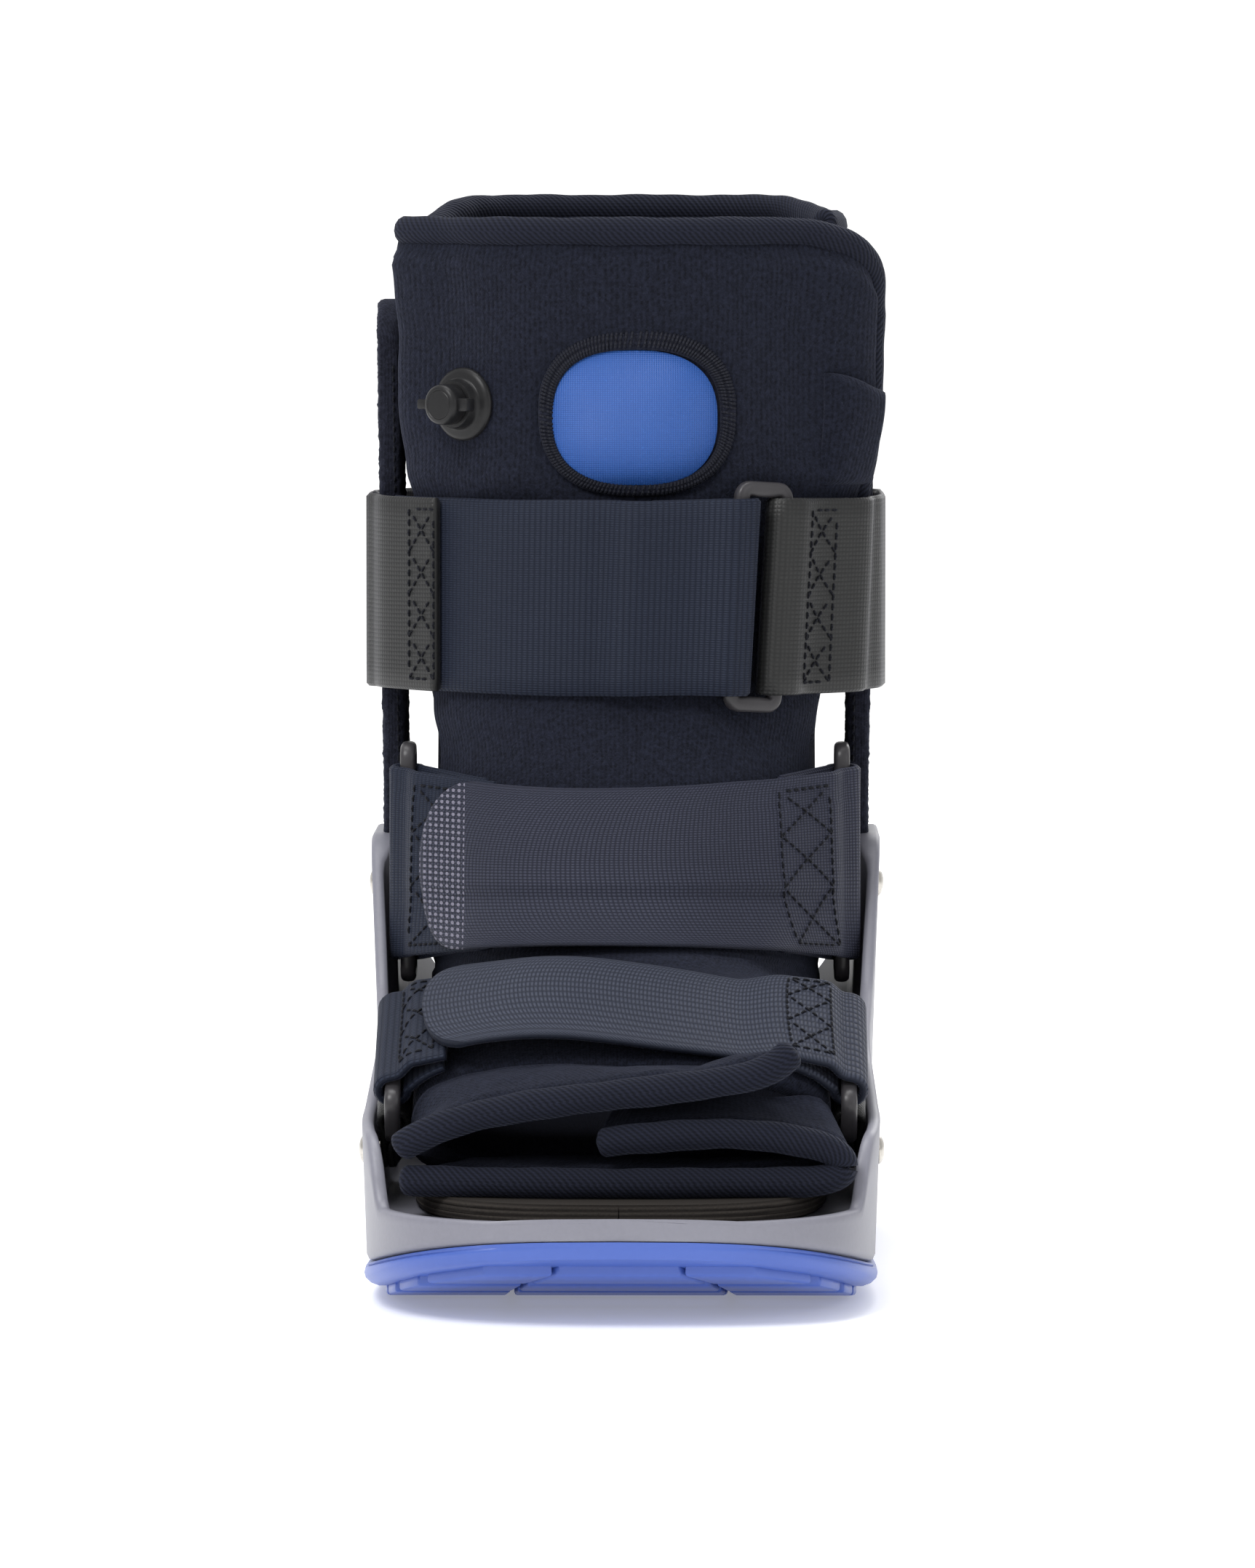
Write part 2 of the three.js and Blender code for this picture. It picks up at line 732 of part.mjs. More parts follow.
// Point on the flap at a place across the boot and a height
function onFlap(x, z, lift) {
  let position = positionAtHeight(z);
  let turn = 0;
  for (let i = 0; i < 8; i += 1) {
    let low = -88;
    let high = 88;
    for (let j = 0; j < 24; j += 1) {
      turn = (low + high) / 2;
      if (linerPoint(position, turn, flapOuter(turn, position) + lift).x < x) {
        low = turn;
      } else {
        high = turn;
      }
    }
    position += (z - linerPoint(position, turn, flapOuter(turn, position) + lift).z) / 40;
  }
  return linerPoint(position, turn, flapOuter(turn, position) + lift);
}

// Domed window: a rounded rectangle laid on the flap
function airWindow() {
  const sides = 20;
  const rings = [
    { reach: 0.2, lift: 0 }, { reach: 0.6, lift: 0 }, { reach: 0.94, lift: 0 },
    { reach: 1, lift: 0.16 }, { reach: 0.99, lift: 0.35 }, { reach: 0.9, lift: 0.62 },
    { reach: 0.7, lift: 0.85 }, { reach: 0.35, lift: 0.98 },
  ];
  const point = (reach, lift, angle) => {
    const x = windowAcross + reach * windowWidth / 2 * power(Math.cos(angle), 0.8);
    const z = windowHeightAbove + reach * windowHeight / 2 * power(Math.sin(angle), 0.8);
    return onFlap(x, z, clothGap + lift * windowDome);
  };
  return loft(rings.map(({ reach, lift }) => (
    Array.from({ length: sides }, (_, i) => point(reach, lift, 2 * Math.PI * i / sides))
  )));
}

// Valve: a flange with a boss on the flap and a cap that turns on it
function valveDirection() {
  const left = onFlap(valveAcross - 4, valveHeightAbove, 0);
  const right = onFlap(valveAcross + 4, valveHeightAbove, 0);
  return new THREE.Vector3(right.y - left.y, -(right.x - left.x), 0).normalize();
}

function lathe(profile, sides) {
  return new THREE.LatheGeometry(profile.map(([x, y]) => new THREE.Vector2(x, y)), sides);
}

function addValve() {
  const direction = valveDirection();
  const turn = new THREE.Quaternion().setFromUnitVectors(new THREE.Vector3(0, 1, 0), direction);
  const seat = onFlap(valveAcross, valveHeightAbove, fitGap);
  const flangeTop = flangeThickness;
  const bossTop = flangeTop + bossLength;
  const bore = capPin + fitGap;
  const flange = lathe([
    [0, 0], [flangeRadius, 0], [flangeRadius, flangeThickness * 0.6], [flangeRadius - 1, flangeTop],
    [bossRadius, flangeTop], [bossRadius, bossTop], [bore, bossTop], [bore, bossTop - capPinLength - fitGap],
    [0, bossTop - capPinLength - fitGap],
  ], 20);
  const flangeMesh = addPiece('valve_flange', flange, 'darkPlastic');
  flangeMesh.quaternion.copy(turn);
  flangeMesh.position.copy(seat);
  const base = bossTop + fitGap;
  const body = lathe([
    [0, base - capPinLength], [capPin, base - capPinLength], [capPin, base], [capRadius, base],
    [capRadius, base + capLength - 1], [capRadius - 1, base + capLength], [0, base + capLength],
  ], 20);
  const lug = new THREE.BoxGeometry(capRadius * 0.7, capLength * 0.5, 2.4);
  lug.translate(capRadius * 1.2, base + capLength * 0.4, 0);
  const cap = toSolid(body).add(toSolid(lug));
  const capMesh = addPiece('valve_cap', toGeometry(cap), 'darkPlastic');
  capMesh.quaternion.copy(turn);
  capMesh.position.copy(seat);
}

// Loop-covered stays that stand in the arms
function addUprights() {
  for (const [name, side] of [['left', -1], ['right', 1]]) {
    const outline = new THREE.Shape();
    const half = uprightWidth / 2;
    const corner = half * 0.7;
    outline.moveTo(-half, 0);
    outline.lineTo(half, 0);
    outline.lineTo(half, uprightHeight - corner);
    outline.quadraticCurveTo(half, uprightHeight, half - corner, uprightHeight);
    outline.lineTo(-half + corner, uprightHeight);
    outline.quadraticCurveTo(-half, uprightHeight, -half, uprightHeight - corner);
    const sizes = { depth: uprightThickness, bevelEnabled: false, curveSegments: 4 };
    const bar = new THREE.ExtrudeGeometry(outline, sizes);
    bar.applyMatrix4(new THREE.Matrix4().makeBasis(
      new THREE.Vector3(0, 1, 0), new THREE.Vector3(0, 0, 1), new THREE.Vector3(1, 0, 0),
    ));
    bar.translate(side > 0 ? uprightSpread - uprightThickness : -uprightSpread, uprightForward, uprightFoot);
    const leaning = bar.attributes.position;
    for (let i = 0; i < leaning.count; i += 1) {
      const rise = Math.max(0, leaning.getZ(i) - armHeight);
      leaning.setX(i, leaning.getX(i) + side * uprightLean * rise);
    }
    addPiece(`upright_${name}`, cut(bar, [rivetBore(side, uprightForward, rivetHeight)]), 'loopCloth');
  }
}

// Convex outline as a function of the turn of its normal
function support(points) {
  return (turn) => {
    const nx = Math.sin(turn * degrees);
    const ny = Math.cos(turn * degrees);
    let best = points[0];
    for (const p of points) {
      if (p.a * nx + p.b * ny > best.a * nx + best.b * ny) {
        best = p;
      }
    }
    return best;
  };
}

const disc = (centre, radius) => spread(25, 0, 360).map((turn) => ({
  a: centre.a + radius * Math.sin(turn * degrees),
  b: centre.b + radius * Math.cos(turn * degrees),
}));

const pushOut = (p, turn, distance) => ({
  a: p.a + Math.sin(turn * degrees) * distance,
  b: p.b + Math.cos(turn * degrees) * distance,
});

// Ring bar centre in a section's plane: the bar runs through a point along a direction in y and z
function barInSection(section, across, barY, barZ, runY, runZ) {
  const cross = section.dirY * runZ - section.dirZ * runY;
  const b = ((barY - section.y) * runZ - (barZ - section.z) * runY) / cross;
  return { a: across, b };
}

const linerTurns = spread(51, -150, 150);

function coveredOutline(position) {
  const section = sectionAt(position);
  return linerTurns.map((turn) => {
    const covered = turn > flapLeft - 2 && turn < flapRight + 2 && position > flapStart - 0.3;
    return outlinePoint(section, turn, covered ? flapOuter(turn, position) : 0);
  });
}

// Taut line round a set of points, measured from the front middle towards the right
function trackRound(points) {
  const edge = support(points);
  const samples = spread(181, -180, 180).map((turn) => ({ turn, ...pushOut(edge(turn), turn, 3) }));
  let length = 0;
  samples.forEach((sample, i) => {
    length += i === 0 ? 0 : Math.hypot(sample.a - samples[i - 1].a, sample.b - samples[i - 1].b);
    sample.distance = length;
  });
  const middle = samples[90].distance;
  const at = (distance, offset) => {
    const wanted = (((distance + middle) % length) + length) % length;
    let i = 0;
    while (i < samples.length - 2 && samples[i + 1].distance < wanted) {
      i += 1;
    }
    const step = samples[i + 1].distance - samples[i].distance;
    const share = step > 0 ? (wanted - samples[i].distance) / step : 0;
    const turn = mix(samples[i].turn, samples[i + 1].turn, share);
    const next = samples[i + 1];
    const place = { a: mix(samples[i].a, next.a, share), b: mix(samples[i].b, next.b, share) };
    return { turn, ...pushOut(place, turn, offset - 3) };
  };
  const distanceAt = (across) => {
    let low = -length / 4;
    let high = length / 4;
    for (let i = 0; i < 30; i += 1) {
      const half = (low + high) / 2;
      if (at(half, 0).a < across) {
        low = half;
      } else {
        high = half;
      }
    }
    return low;
  };
  const distanceAtTurn = (turn) => samples[Math.round((turn + 180) / 2)].distance - middle;
  const firstTurnAt = (centre, radius, side) => spread(46, 0, 90).map((turn) => side * turn).find((turn) => {
    const place = edge(turn);
    return Math.hypot(place.a - centre.a, place.b - centre.b) < radius + 0.01;
  });
  const lastTurnAhead = (b, side) => side * spread(46, 90, 0).find((turn) => edge(side * turn).b >= b);
  return { at, distanceAt, distanceAtTurn, firstTurnAt, lastTurnAhead, length };
}

const singleLayer = layerGap + strapThickness / 2;
const doubleLayer = singleLayer + strapThickness + layerGap;
const tripleLayer = doubleLayer + strapThickness + layerGap;
const foldRadius = ringBar / 2 + singleLayer;

// One section of a strap: outer run from its free end to the ring, fold round the bar, inner run
function strapSection(strap, position, share) {
  const section = sectionAt(position);
  const cover = coveredOutline(position);
  const bars = [-1, 1].map((side) => strap.bar(section, side));
  const outerEdge = trackRound([...cover, ...bars.flatMap((bar) => disc(bar, ringBar / 2))]);
  const bar = bars[strap.side < 0 ? 0 : 1];
  const inside = pushOut(bar, -90 * strap.side, foldRadius);
  const coverEdge = support(cover);
  const grown = spread(61, -150, 150).map((turn) => pushOut(coverEdge(turn), turn, singleLayer));
  const innerEdge = trackRound([...grown, inside]);
  const end = outerEdge.distanceAt(strap.endAcross + strap.side * strap.endRound * endBow(share));
  const touch = outerEdge.firstTurnAt(bar, ringBar / 2, strap.side);
  const stop = outerEdge.distanceAtTurn(touch) - 1.5 * strap.side;
  const path = spread(strap.steps, end, stop).map((distance) => {
    const place = outerEdge.at(distance, 0);
    return pushOut(place, place.turn, strap.layer(place.a));
  });
  for (const turn of spread(7, touch + 4 * strap.side, strap.side * 270)) {
    path.push(pushOut(bar, turn, foldRadius));
  }
  const ahead = () => innerEdge.lastTurnAhead(bar.b + 1, strap.side);
  const leave = innerEdge.firstTurnAt(inside, 0, strap.side) ?? ahead();
  const from = innerEdge.distanceAtTurn(leave);
  const to = innerEdge.distanceAt(strap.innerAcross);
  for (const distance of spread(5, from, to).slice(1)) {
    path.push(innerEdge.at(distance, 0));
  }
  return path.map((p) => ({ ...p, section }));
}

// Set-back of a round strap end towards the strap's edges
const endBow = (share) => 1 - Math.sqrt(Math.max(0, 1 - (2 * share - 1) ** 2));

function strapPiece(strap) {
  return loft([0, 0.07, 0.25, 0.5, 0.75, 0.93, 1].map((share) => {
    const path = strapSection(strap, mix(strap.from, strap.to, share), share);
    return thicken(path, strapThickness).map((p) => inSpace(path[0].section, p));
  }));
}

const ankleBar = (section, side) => (
  barInSection(section, side * ankleRingAcross, ankleRingBehind, ankleRingHeight, 0, 1)
);
const footSlant = { y: Math.cos(footSlantAngle * degrees), z: Math.sin(footSlantAngle * degrees) };
const footBar = (section, side) => (
  barInSection(section, side * footRingAcross, -footRingForward, footRingHeight, footSlant.y, footSlant.z)
);

// Layers under a strap's outer run, from its place across the boot
const nearRing = (across) => smooth(Math.abs(across), 50, 55);
const tabLayer = (across) => mix(doubleLayer, singleLayer, nearRing(across));
const overLayer = (tabEnd, foldEnd) => (across) => {
  const onTab = 1 - smooth(across, tabEnd + tabStep, tabEnd + tabStep + tabSlope);
  const onFold = smooth(across, foldEnd - 14, foldEnd - 2) * (1 - nearRing(across));
  return singleLayer + (tripleLayer - singleLayer) * onTab + (doubleLayer - singleLayer) * onFold;
};

const straps = {
  ankle_strap_tab: {
    side: -1, from: 5.05, to: 6.95, bar: ankleBar,
    endAcross: ankleTabEnd, endRound: 0, innerAcross: ankleTabEnd - tabTuck,
    layer: tabLayer, steps: 6,
  },
  ankle_strap_over: {
    side: 1, from: 5.05, to: 6.95, bar: ankleBar,
    endAcross: ankleTipEnd, endRound: tipRound, innerAcross: ankleFoldEnd,
    layer: overLayer(ankleTabEnd, ankleFoldEnd), steps: 17,
  },
  foot_strap_tab: {
    side: -1, from: 0.04, to: 0.96, bar: footBar,
    endAcross: footTabEnd, endRound: 0, innerAcross: footTabEnd - tabTuck,
    layer: tabLayer, steps: 6,
  },
  foot_strap_over: {
    side: 1, from: 0.04, to: 0.96, bar: footBar,
    endAcross: footTipEnd, endRound: tipRound, innerAcross: footFoldEnd,
    layer: overLayer(footTabEnd, footFoldEnd), steps: 16,
  },
};

// Flat ring with two long bars, in its own plane
function ring(length, width) {
  const bevel = ringBar * 0.28;
  const box = (long, wide, corner) => {
    const path = new THREE.Path();
    const x = wide / 2;
    const y = long / 2;
    path.moveTo(-x + corner, -y);
    path.lineTo(x - corner, -y);
    path.quadraticCurveTo(x, -y, x, -y + corner);
    path.lineTo(x, y - corner);
    path.quadraticCurveTo(x, y, x - corner, y);
    path.lineTo(-x + corner, y);
    path.quadraticCurveTo(-x, y, -x, y - corner);
    path.lineTo(-x, -y + corner);
    path.quadraticCurveTo(-x, -y, -x + corner, -y);
    return path;
  };
  const outline = new THREE.Shape(box(length - 2 * bevel, width - 2 * bevel, ringBar).getPoints(2));
  outline.holes.push(new THREE.Path(
    box(length - 2 * ringBar + 2 * bevel, width - 2 * ringBar + 2 * bevel, ringBar / 3).getPoints(2),
  ));
  const depth = ringBar - 2 * bevel;
  const geometry = new THREE.ExtrudeGeometry(outline, {
    depth, bevelThickness: bevel, bevelSize: bevel, bevelSegments: 1, curveSegments: 2,
  });
  geometry.translate(0, 0, -depth / 2);
  return geometry;
}

// Stands a flat ring beside the boot: its length along a slant in y and z, its width towards the anchor
function addRing(name, side, geometry, bar, slant, width) {
  const long = new THREE.Vector3(0, slant.y, slant.z);
  const wide = new THREE.Vector3(0, slant.z, -slant.y);
  const mesh = addPiece(name, geometry, 'darkPlastic');
  mesh.setRotationFromMatrix(new THREE.Matrix4().makeBasis(wide, long, wide.clone().cross(long)));
  const reach = width / 2 - ringBar / 2;
  mesh.position.set(side * bar.across, bar.y + wide.y * reach, bar.z + wide.z * reach);
}

const ankleBarPlace = { across: ankleRingAcross, y: ankleRingBehind, z: ankleRingHeight };
const footBarPlace = { across: footRingAcross, y: -footRingForward, z: footRingHeight };

// Webbing from the ankle ring back to the rivet in the arm
function ankleAnchor(side) {
  const barY = ankleRingBehind + ankleRingWidth - ringBar;
  const radius = ringBar / 2 + clothGap + anchorThickness / 2;
  const outer = uprightSpread - uprightThickness - clothGap - anchorThickness / 2;
  const inner = outer - anchorThickness - fitGap;
  const end = uprightForward + rivetHead * 2.5;
  const path = [{ a: inner, b: -end }, { a: inner, b: -barY - 8 }];
  for (const turn of spread(7, -100, 90)) {
    path.push(pushOut({ a: ankleRingAcross, b: -barY }, turn, radius));
  }
  path.push({ a: outer, b: -(uprightForward - uprightWidth / 2 - 2) }, { a: outer, b: -end });
  const width = ankleRingLength - 2 * ringBar - anchorSetIn;
  const polygon = thicken(path, anchorThickness);
  const level = (z) => polygon.map((p) => new THREE.Vector3(side * p.a, -p.b, z));
  const strap = loft([level(ankleRingHeight - width / 2), level(ankleRingHeight + width / 2)]);
  return cut(strap, [rivetBore(side, uprightForward, rivetHeight)]);
}

// Webbing from the foot ring down to the rivet in the side wall
function footAnchor(side) {
  const radius = ringBar / 2 + clothGap + anchorThickness / 2;
  const strap = loft([0.09, 0.5, 0.9].map((position) => {
    const section = sectionAt(position);
    const upper = footBar(section, 1);
    const bar = { a: upper.a, b: upper.b - (footRingWidth - ringBar) };
    const end = (footbed + 2 - section.z) / section.dirZ;
    const wallInside = cavityHalfAt(section.y + section.dirY * end, 0);
    const outer = wallInside - clothGap - anchorThickness / 2;
    const inner = outer - anchorThickness - fitGap;
    const path = [{ a: inner, b: end }, { a: inner, b: mix(end, bar.b, 0.45) }];
    for (const turn of spread(7, -95, 95)) {
      path.push(pushOut(bar, turn, radius));
    }
    path.push({ a: outer, b: mix(end, bar.b, 0.7) }, { a: outer, b: end });
    return thicken(path, anchorThickness).map((p) => inSpace(section, { a: side * p.a, b: p.b }));
  }));
  return cut(strap, [rivetBore(side, -footRivetForward, footRivetHeight)]);
}

// Everything that the leg strap goes round
function legStrapTrack() {
  const low = legStrapHeight - legStrapWidth / 2;
  const points = spread(6, low, low + legStrapWidth).flatMap((z) => {
    const position = positionAtHeight(z);
    const section = sectionAt(position);
    const front = coveredOutline(position).map((p) => inSpace(section, p));
    const back = [150, 160, 170, 180, 190, 200, 210].map((turn) => linerPoint(position, turn, 0));
    const edging = disc(flapEdgeMiddle(section, position), bindingRadius).map((p) => inSpace(section, p));
    return [...front, ...back, ...edging].map((p) => ({ a: p.x, b: -p.y }));
  });
  const face = uprightSpread + uprightLean * (low + legStrapWidth - armHeight) + fitGap;
  for (const x of [-face, face]) {
    for (const y of [uprightForward - uprightWidth / 2, uprightForward + uprightWidth / 2]) {
      points.push({ a: x, b: -y });
    }
  }
  return trackRound(points);
}

const legTrack = legStrapTrack();
const buckleAt = legTrack.distanceAt(buckleAcross);
const buckleLevel = singleLayer + strapThickness / 2 + clothGap + buckleThickness / 2;
const frontLevel = buckleLevel + buckleThickness / 2 + clothGap + strapThickness / 2;
const buckleFold = (frontLevel - singleLayer) / 2;
const foldPlace = buckleWidth / 2 - buckleBar + 1.4;

// Run of one strap half at the buckle: front layer in, fold in the slot, return layer
function buckleRun(side, shift) {
  const centre = buckleAt + shift;
  const middle = legTrack.at(centre, 0);
  const place = (reach, offset) => {
    const bent = legTrack.at(centre + side * reach, offset);
    const flat = pushOut(pushOut(middle, middle.turn, offset), middle.turn + 90, side * reach);
    const share = smooth(reach, buckleWidth / 2, buckleWidth);
    return { a: mix(flat.a, bent.a, share), b: mix(flat.b, bent.b, share) };
  };
  const run = [
    place(returnLength + 6, singleLayer),
    place(returnLength - 1, doubleLayer),
    place(buckleWidth / 2 + 9, doubleLayer + 0.2),
    place(buckleWidth / 2 + 2, frontLevel - 0.3),
    place(foldPlace + 1.5, frontLevel),
  ];
  const level = (frontLevel + singleLayer) / 2;
  for (const turn of spread(7, 0, 180)) {
    const reach = foldPlace - buckleFold * Math.sin(turn * degrees);
    run.push(place(reach, level + buckleFold * Math.cos(turn * degrees)));
  }
  run.push(place(foldPlace + 6, singleLayer), place((returnLength + foldPlace) / 2, singleLayer));
  run.push(place(returnLength - 5, singleLayer));
  return run;
}

function legStrapPiece(pathAt) {
  const half = legStrapWidth / 2;
  return loft([-half, half].map((rise) => {
    const shift = rise * Math.tan(buckleTilt * degrees);
    const height = legStrapHeight + rise;
    return thicken(pathAt(shift), strapThickness).map((p) => new THREE.Vector3(p.a, -p.b, height));
  }));
}

function legStrapFront() {
  const from = legTrack.distanceAt(navyEnd);
  const to = buckleAt - returnLength - 12;
  return legStrapPiece((shift) => [
    ...spread(7, from, to).map((distance) => legTrack.at(distance, singleLayer)),
    ...buckleRun(-1, shift),
  ]);
}

// Places along the leg strap's line where it bends
function keyPlaces(from, to) {
  const kept = [from];
  let last = legTrack.at(from, 0).turn;
  const count = Math.round(Math.abs(to - from));
  for (const distance of spread(count, from, to).slice(1, -1)) {
    const { turn } = legTrack.at(distance, 0);
    if (Math.abs(((turn - last + 540) % 360) - 180) > 7) {
      kept.push(distance);
      last = turn;
    }
  }
  return [...kept, to];
}

function legStrapBack() {
  const from = legTrack.distanceAt(webbingEnd);
  const navy = legTrack.distanceAt(navyEnd);
  const to = buckleAt + returnLength + 10 - legTrack.length;
  return legStrapPiece((shift) => [
    legTrack.at(from, doubleLayer),
    legTrack.at(mix(from, navy, 0.5), doubleLayer),
    legTrack.at(navy - 1, doubleLayer),
    ...keyPlaces(navy - 9, to).map((distance) => legTrack.at(distance, singleLayer)),
    ...buckleRun(1, shift),
  ]);
}

function addBuckle() {
  const flat = (long, wide, corner) => {
    const path = new THREE.Path();
    path.moveTo(-wide / 2 + corner, -long / 2);
    path.lineTo(wide / 2 - corner, -long / 2);
    path.quadraticCurveTo(wide / 2, -long / 2, wide / 2, -long / 2 + corner);
    path.lineTo(wide / 2, long / 2 - corner);
    path.quadraticCurveTo(wide / 2, long / 2, wide / 2 - corner, long / 2);
    path.lineTo(-wide / 2 + corner, long / 2);
    path.quadraticCurveTo(-wide / 2, long / 2, -wide / 2, long / 2 - corner);
    path.lineTo(-wide / 2, -long / 2 + corner);
    path.quadraticCurveTo(-wide / 2, -long / 2, -wide / 2 + corner, -long / 2);
    return path;
  };
  const bevel = 0.8;
  const outline = new THREE.Shape(flat(buckleHeight - 2 * bevel, buckleWidth - 2 * bevel, 2).getPoints(3));
  outline.holes.push(new THREE.Path(
    flat(legStrapWidth + 1.2 + 2 * bevel, buckleWidth - 2 * buckleBar + 2 * bevel, 1).getPoints(2),
  ));
  const depth = buckleThickness - 2 * bevel;
  const geometry = new THREE.ExtrudeGeometry(outline, {
    depth, bevelThickness: bevel, bevelSize: bevel, bevelSegments: 1, curveSegments: 2,
  });
  geometry.translate(0, 0, -depth / 2);
  const mesh = addPiece('leg_buckle', geometry, 'darkPlastic');
  const place = legTrack.at(buckleAt, buckleLevel);
  const normal = new THREE.Vector3(Math.sin(place.turn * degrees), -Math.cos(place.turn * degrees), 0);
  const along = new THREE.Vector3(Math.cos(place.turn * degrees), Math.sin(place.turn * degrees), 0);
  const basis = new THREE.Matrix4().makeBasis(along, new THREE.Vector3(0, 0, 1), normal);
  mesh.setRotationFromMatrix(basis.multiply(new THREE.Matrix4().makeRotationZ(-buckleTilt * degrees)));
  mesh.position.set(place.a, -place.b, legStrapHeight);
}

// Toe wraps: padded cloth from the toe's edge back to the ball of the foot
const toeEdgeY = (across) => placeAlong(toeEdgeForward) + toeEdgeCurve * toeReach * across ** 2;
const wrapGrow = -wrapThickness / 2 - clothGap;

function wrapEdge(row) {
  return new THREE.Vector3(row.across * linerHalf, toeEdgeY(row.across), heightAt(row.up));
}

function toeWrap(rows, tuckedUnder) {
  const section = sectionAt(ballSection);
  const front = thicken(rows.map((row) => ({ a: wrapEdge(row).x, b: wrapEdge(row).z })), wrapThickness);
  const back = thicken(rows.map((row) => {
    const grow = wrapGrow - (tuckedUnder(row) ? wrapThickness + 2 * clothGap : 0);
    return outlinePoint(section, row.backTurn, grow);
  }), wrapThickness);
  const count = rows.length;
  return loft([0, 0.33, 0.67, 0.98].map((share) => front.map((p, i) => {
    const row = rows[i < count ? i : 2 * count - 1 - i];
    const start = new THREE.Vector3(p.a, toeEdgeY(row.across), p.b);
    return start.lerp(inSpace(section, back[i]), share);
  })));
}

function toeBinding(rows) {
  return roll(rows.map((row) => {
    const point = wrapEdge(row);
    point.y -= toeBindingRadius + fitGap;
    return point;
  }), toeBindingRadius);
}

addPiece('outsole', outsole(), 'blueRubber');
addPiece('base_shell', baseShell(), 'grayPlastic');
addPiece('insole_foam', insoleFoam(), 'foam');
addPiece('liner_foot', sock(footRows), 'navyCloth');
addPiece('liner_leg', sock(legRows), 'navyCloth');
addPiece('front_flap', frontFlap(), 'navyCloth');
addPiece('collar_binding_front', collarBindingFront(), 'binding');
addPiece('collar_binding_back', collarBindingBack(), 'binding');
addPiece('flap_edge_binding', flapEdgeBinding(), 'binding');
addPiece('side_panel', sidePanel(), 'navyCloth');
addPiece('air_window', airWindow(), 'blueCloth');
addValve();
addUprights();
addPiece('toe_wrap_left', toeWrap(leftWrapEdge, () => false), 'navyCloth');
const tucked = (row) => Math.abs(row.backTurn) < wrapOverlap;
addPiece('toe_wrap_right', toeWrap(rightWrapEdge, tucked), 'navyCloth');
addPiece('toe_binding_left', toeBinding(leftWrapEdge), 'binding');
addPiece('toe_binding_right', toeBinding(rightWrapEdge), 'binding');
for (const [name, strap] of Object.entries(straps)) {
  addPiece(name, strapPiece(strap), 'strapCloth');
}
addPiece('leg_strap_front', legStrapFront(), 'strapCloth');
addPiece('leg_strap_back', legStrapBack(), 'webbing');
addBuckle();
const upright = { y: 0, z: 1 };
for (const [name, side] of [['left', -1], ['right', 1]]) {
  const ankleRing = ring(ankleRingLength, ankleRingWidth);
  const footRing = ring(footRingLength, footRingWidth);
  addRing(`ankle_ring_${name}`, side, ankleRing, ankleBarPlace, upright, ankleRingWidth);
  addRing(`foot_ring_${name}`, side, footRing, footBarPlace, footSlant, footRingWidth);
  addPiece(`ankle_anchor_${name}`, ankleAnchor(side), 'webbing');
  addPiece(`foot_anchor_${name}`, footAnchor(side), 'webbing');
  addRivet(`ankle_rivet_${name}`, side, uprightForward, rivetHeight, ankleShank);
  addRivet(`foot_rivet_${name}`, side, -footRivetForward, footRivetHeight, footShank);
}

export default group;
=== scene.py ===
import bpy
import bmesh
import math
from mathutils import Matrix, Vector, noise


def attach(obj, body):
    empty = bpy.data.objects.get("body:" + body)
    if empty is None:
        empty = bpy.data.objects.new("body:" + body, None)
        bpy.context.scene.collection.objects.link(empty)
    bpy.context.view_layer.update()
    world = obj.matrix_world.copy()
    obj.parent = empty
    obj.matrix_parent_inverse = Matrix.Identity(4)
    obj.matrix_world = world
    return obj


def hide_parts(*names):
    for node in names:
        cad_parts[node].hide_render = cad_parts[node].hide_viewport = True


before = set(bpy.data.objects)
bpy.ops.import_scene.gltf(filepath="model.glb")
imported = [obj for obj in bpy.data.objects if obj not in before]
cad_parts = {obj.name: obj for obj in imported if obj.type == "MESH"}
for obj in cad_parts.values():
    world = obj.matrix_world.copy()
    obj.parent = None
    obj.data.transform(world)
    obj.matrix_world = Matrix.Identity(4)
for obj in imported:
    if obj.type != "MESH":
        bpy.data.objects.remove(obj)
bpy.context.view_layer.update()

# Lengths are in millimetres until a mesh is made, and -Y is the toe.
sole = {"toeReach": 146, "heelReach": 142, "half": 63, "underside": 8.8, "floor": 24, "rim": 5.3,
        "wall": 2.6, "arm": 5.3, "armHeight": 107, "lean": 0.033, "springStart": 60, "spring": 13.4,
        "toeLift": 15.4, "heelLift": 5, "flatHeelEnd": 96}
foamBottom = 24.3
footbed = 29.8
collar = 270
linerHalf = 56
linerWall = 6
clothGap = 0.5
layerGap = 0.6
strapThickness = 2.2
ringBar = 4
degree = math.pi / 180
mm = 0.001
hands = ((-1, "left"), (1, "right"))

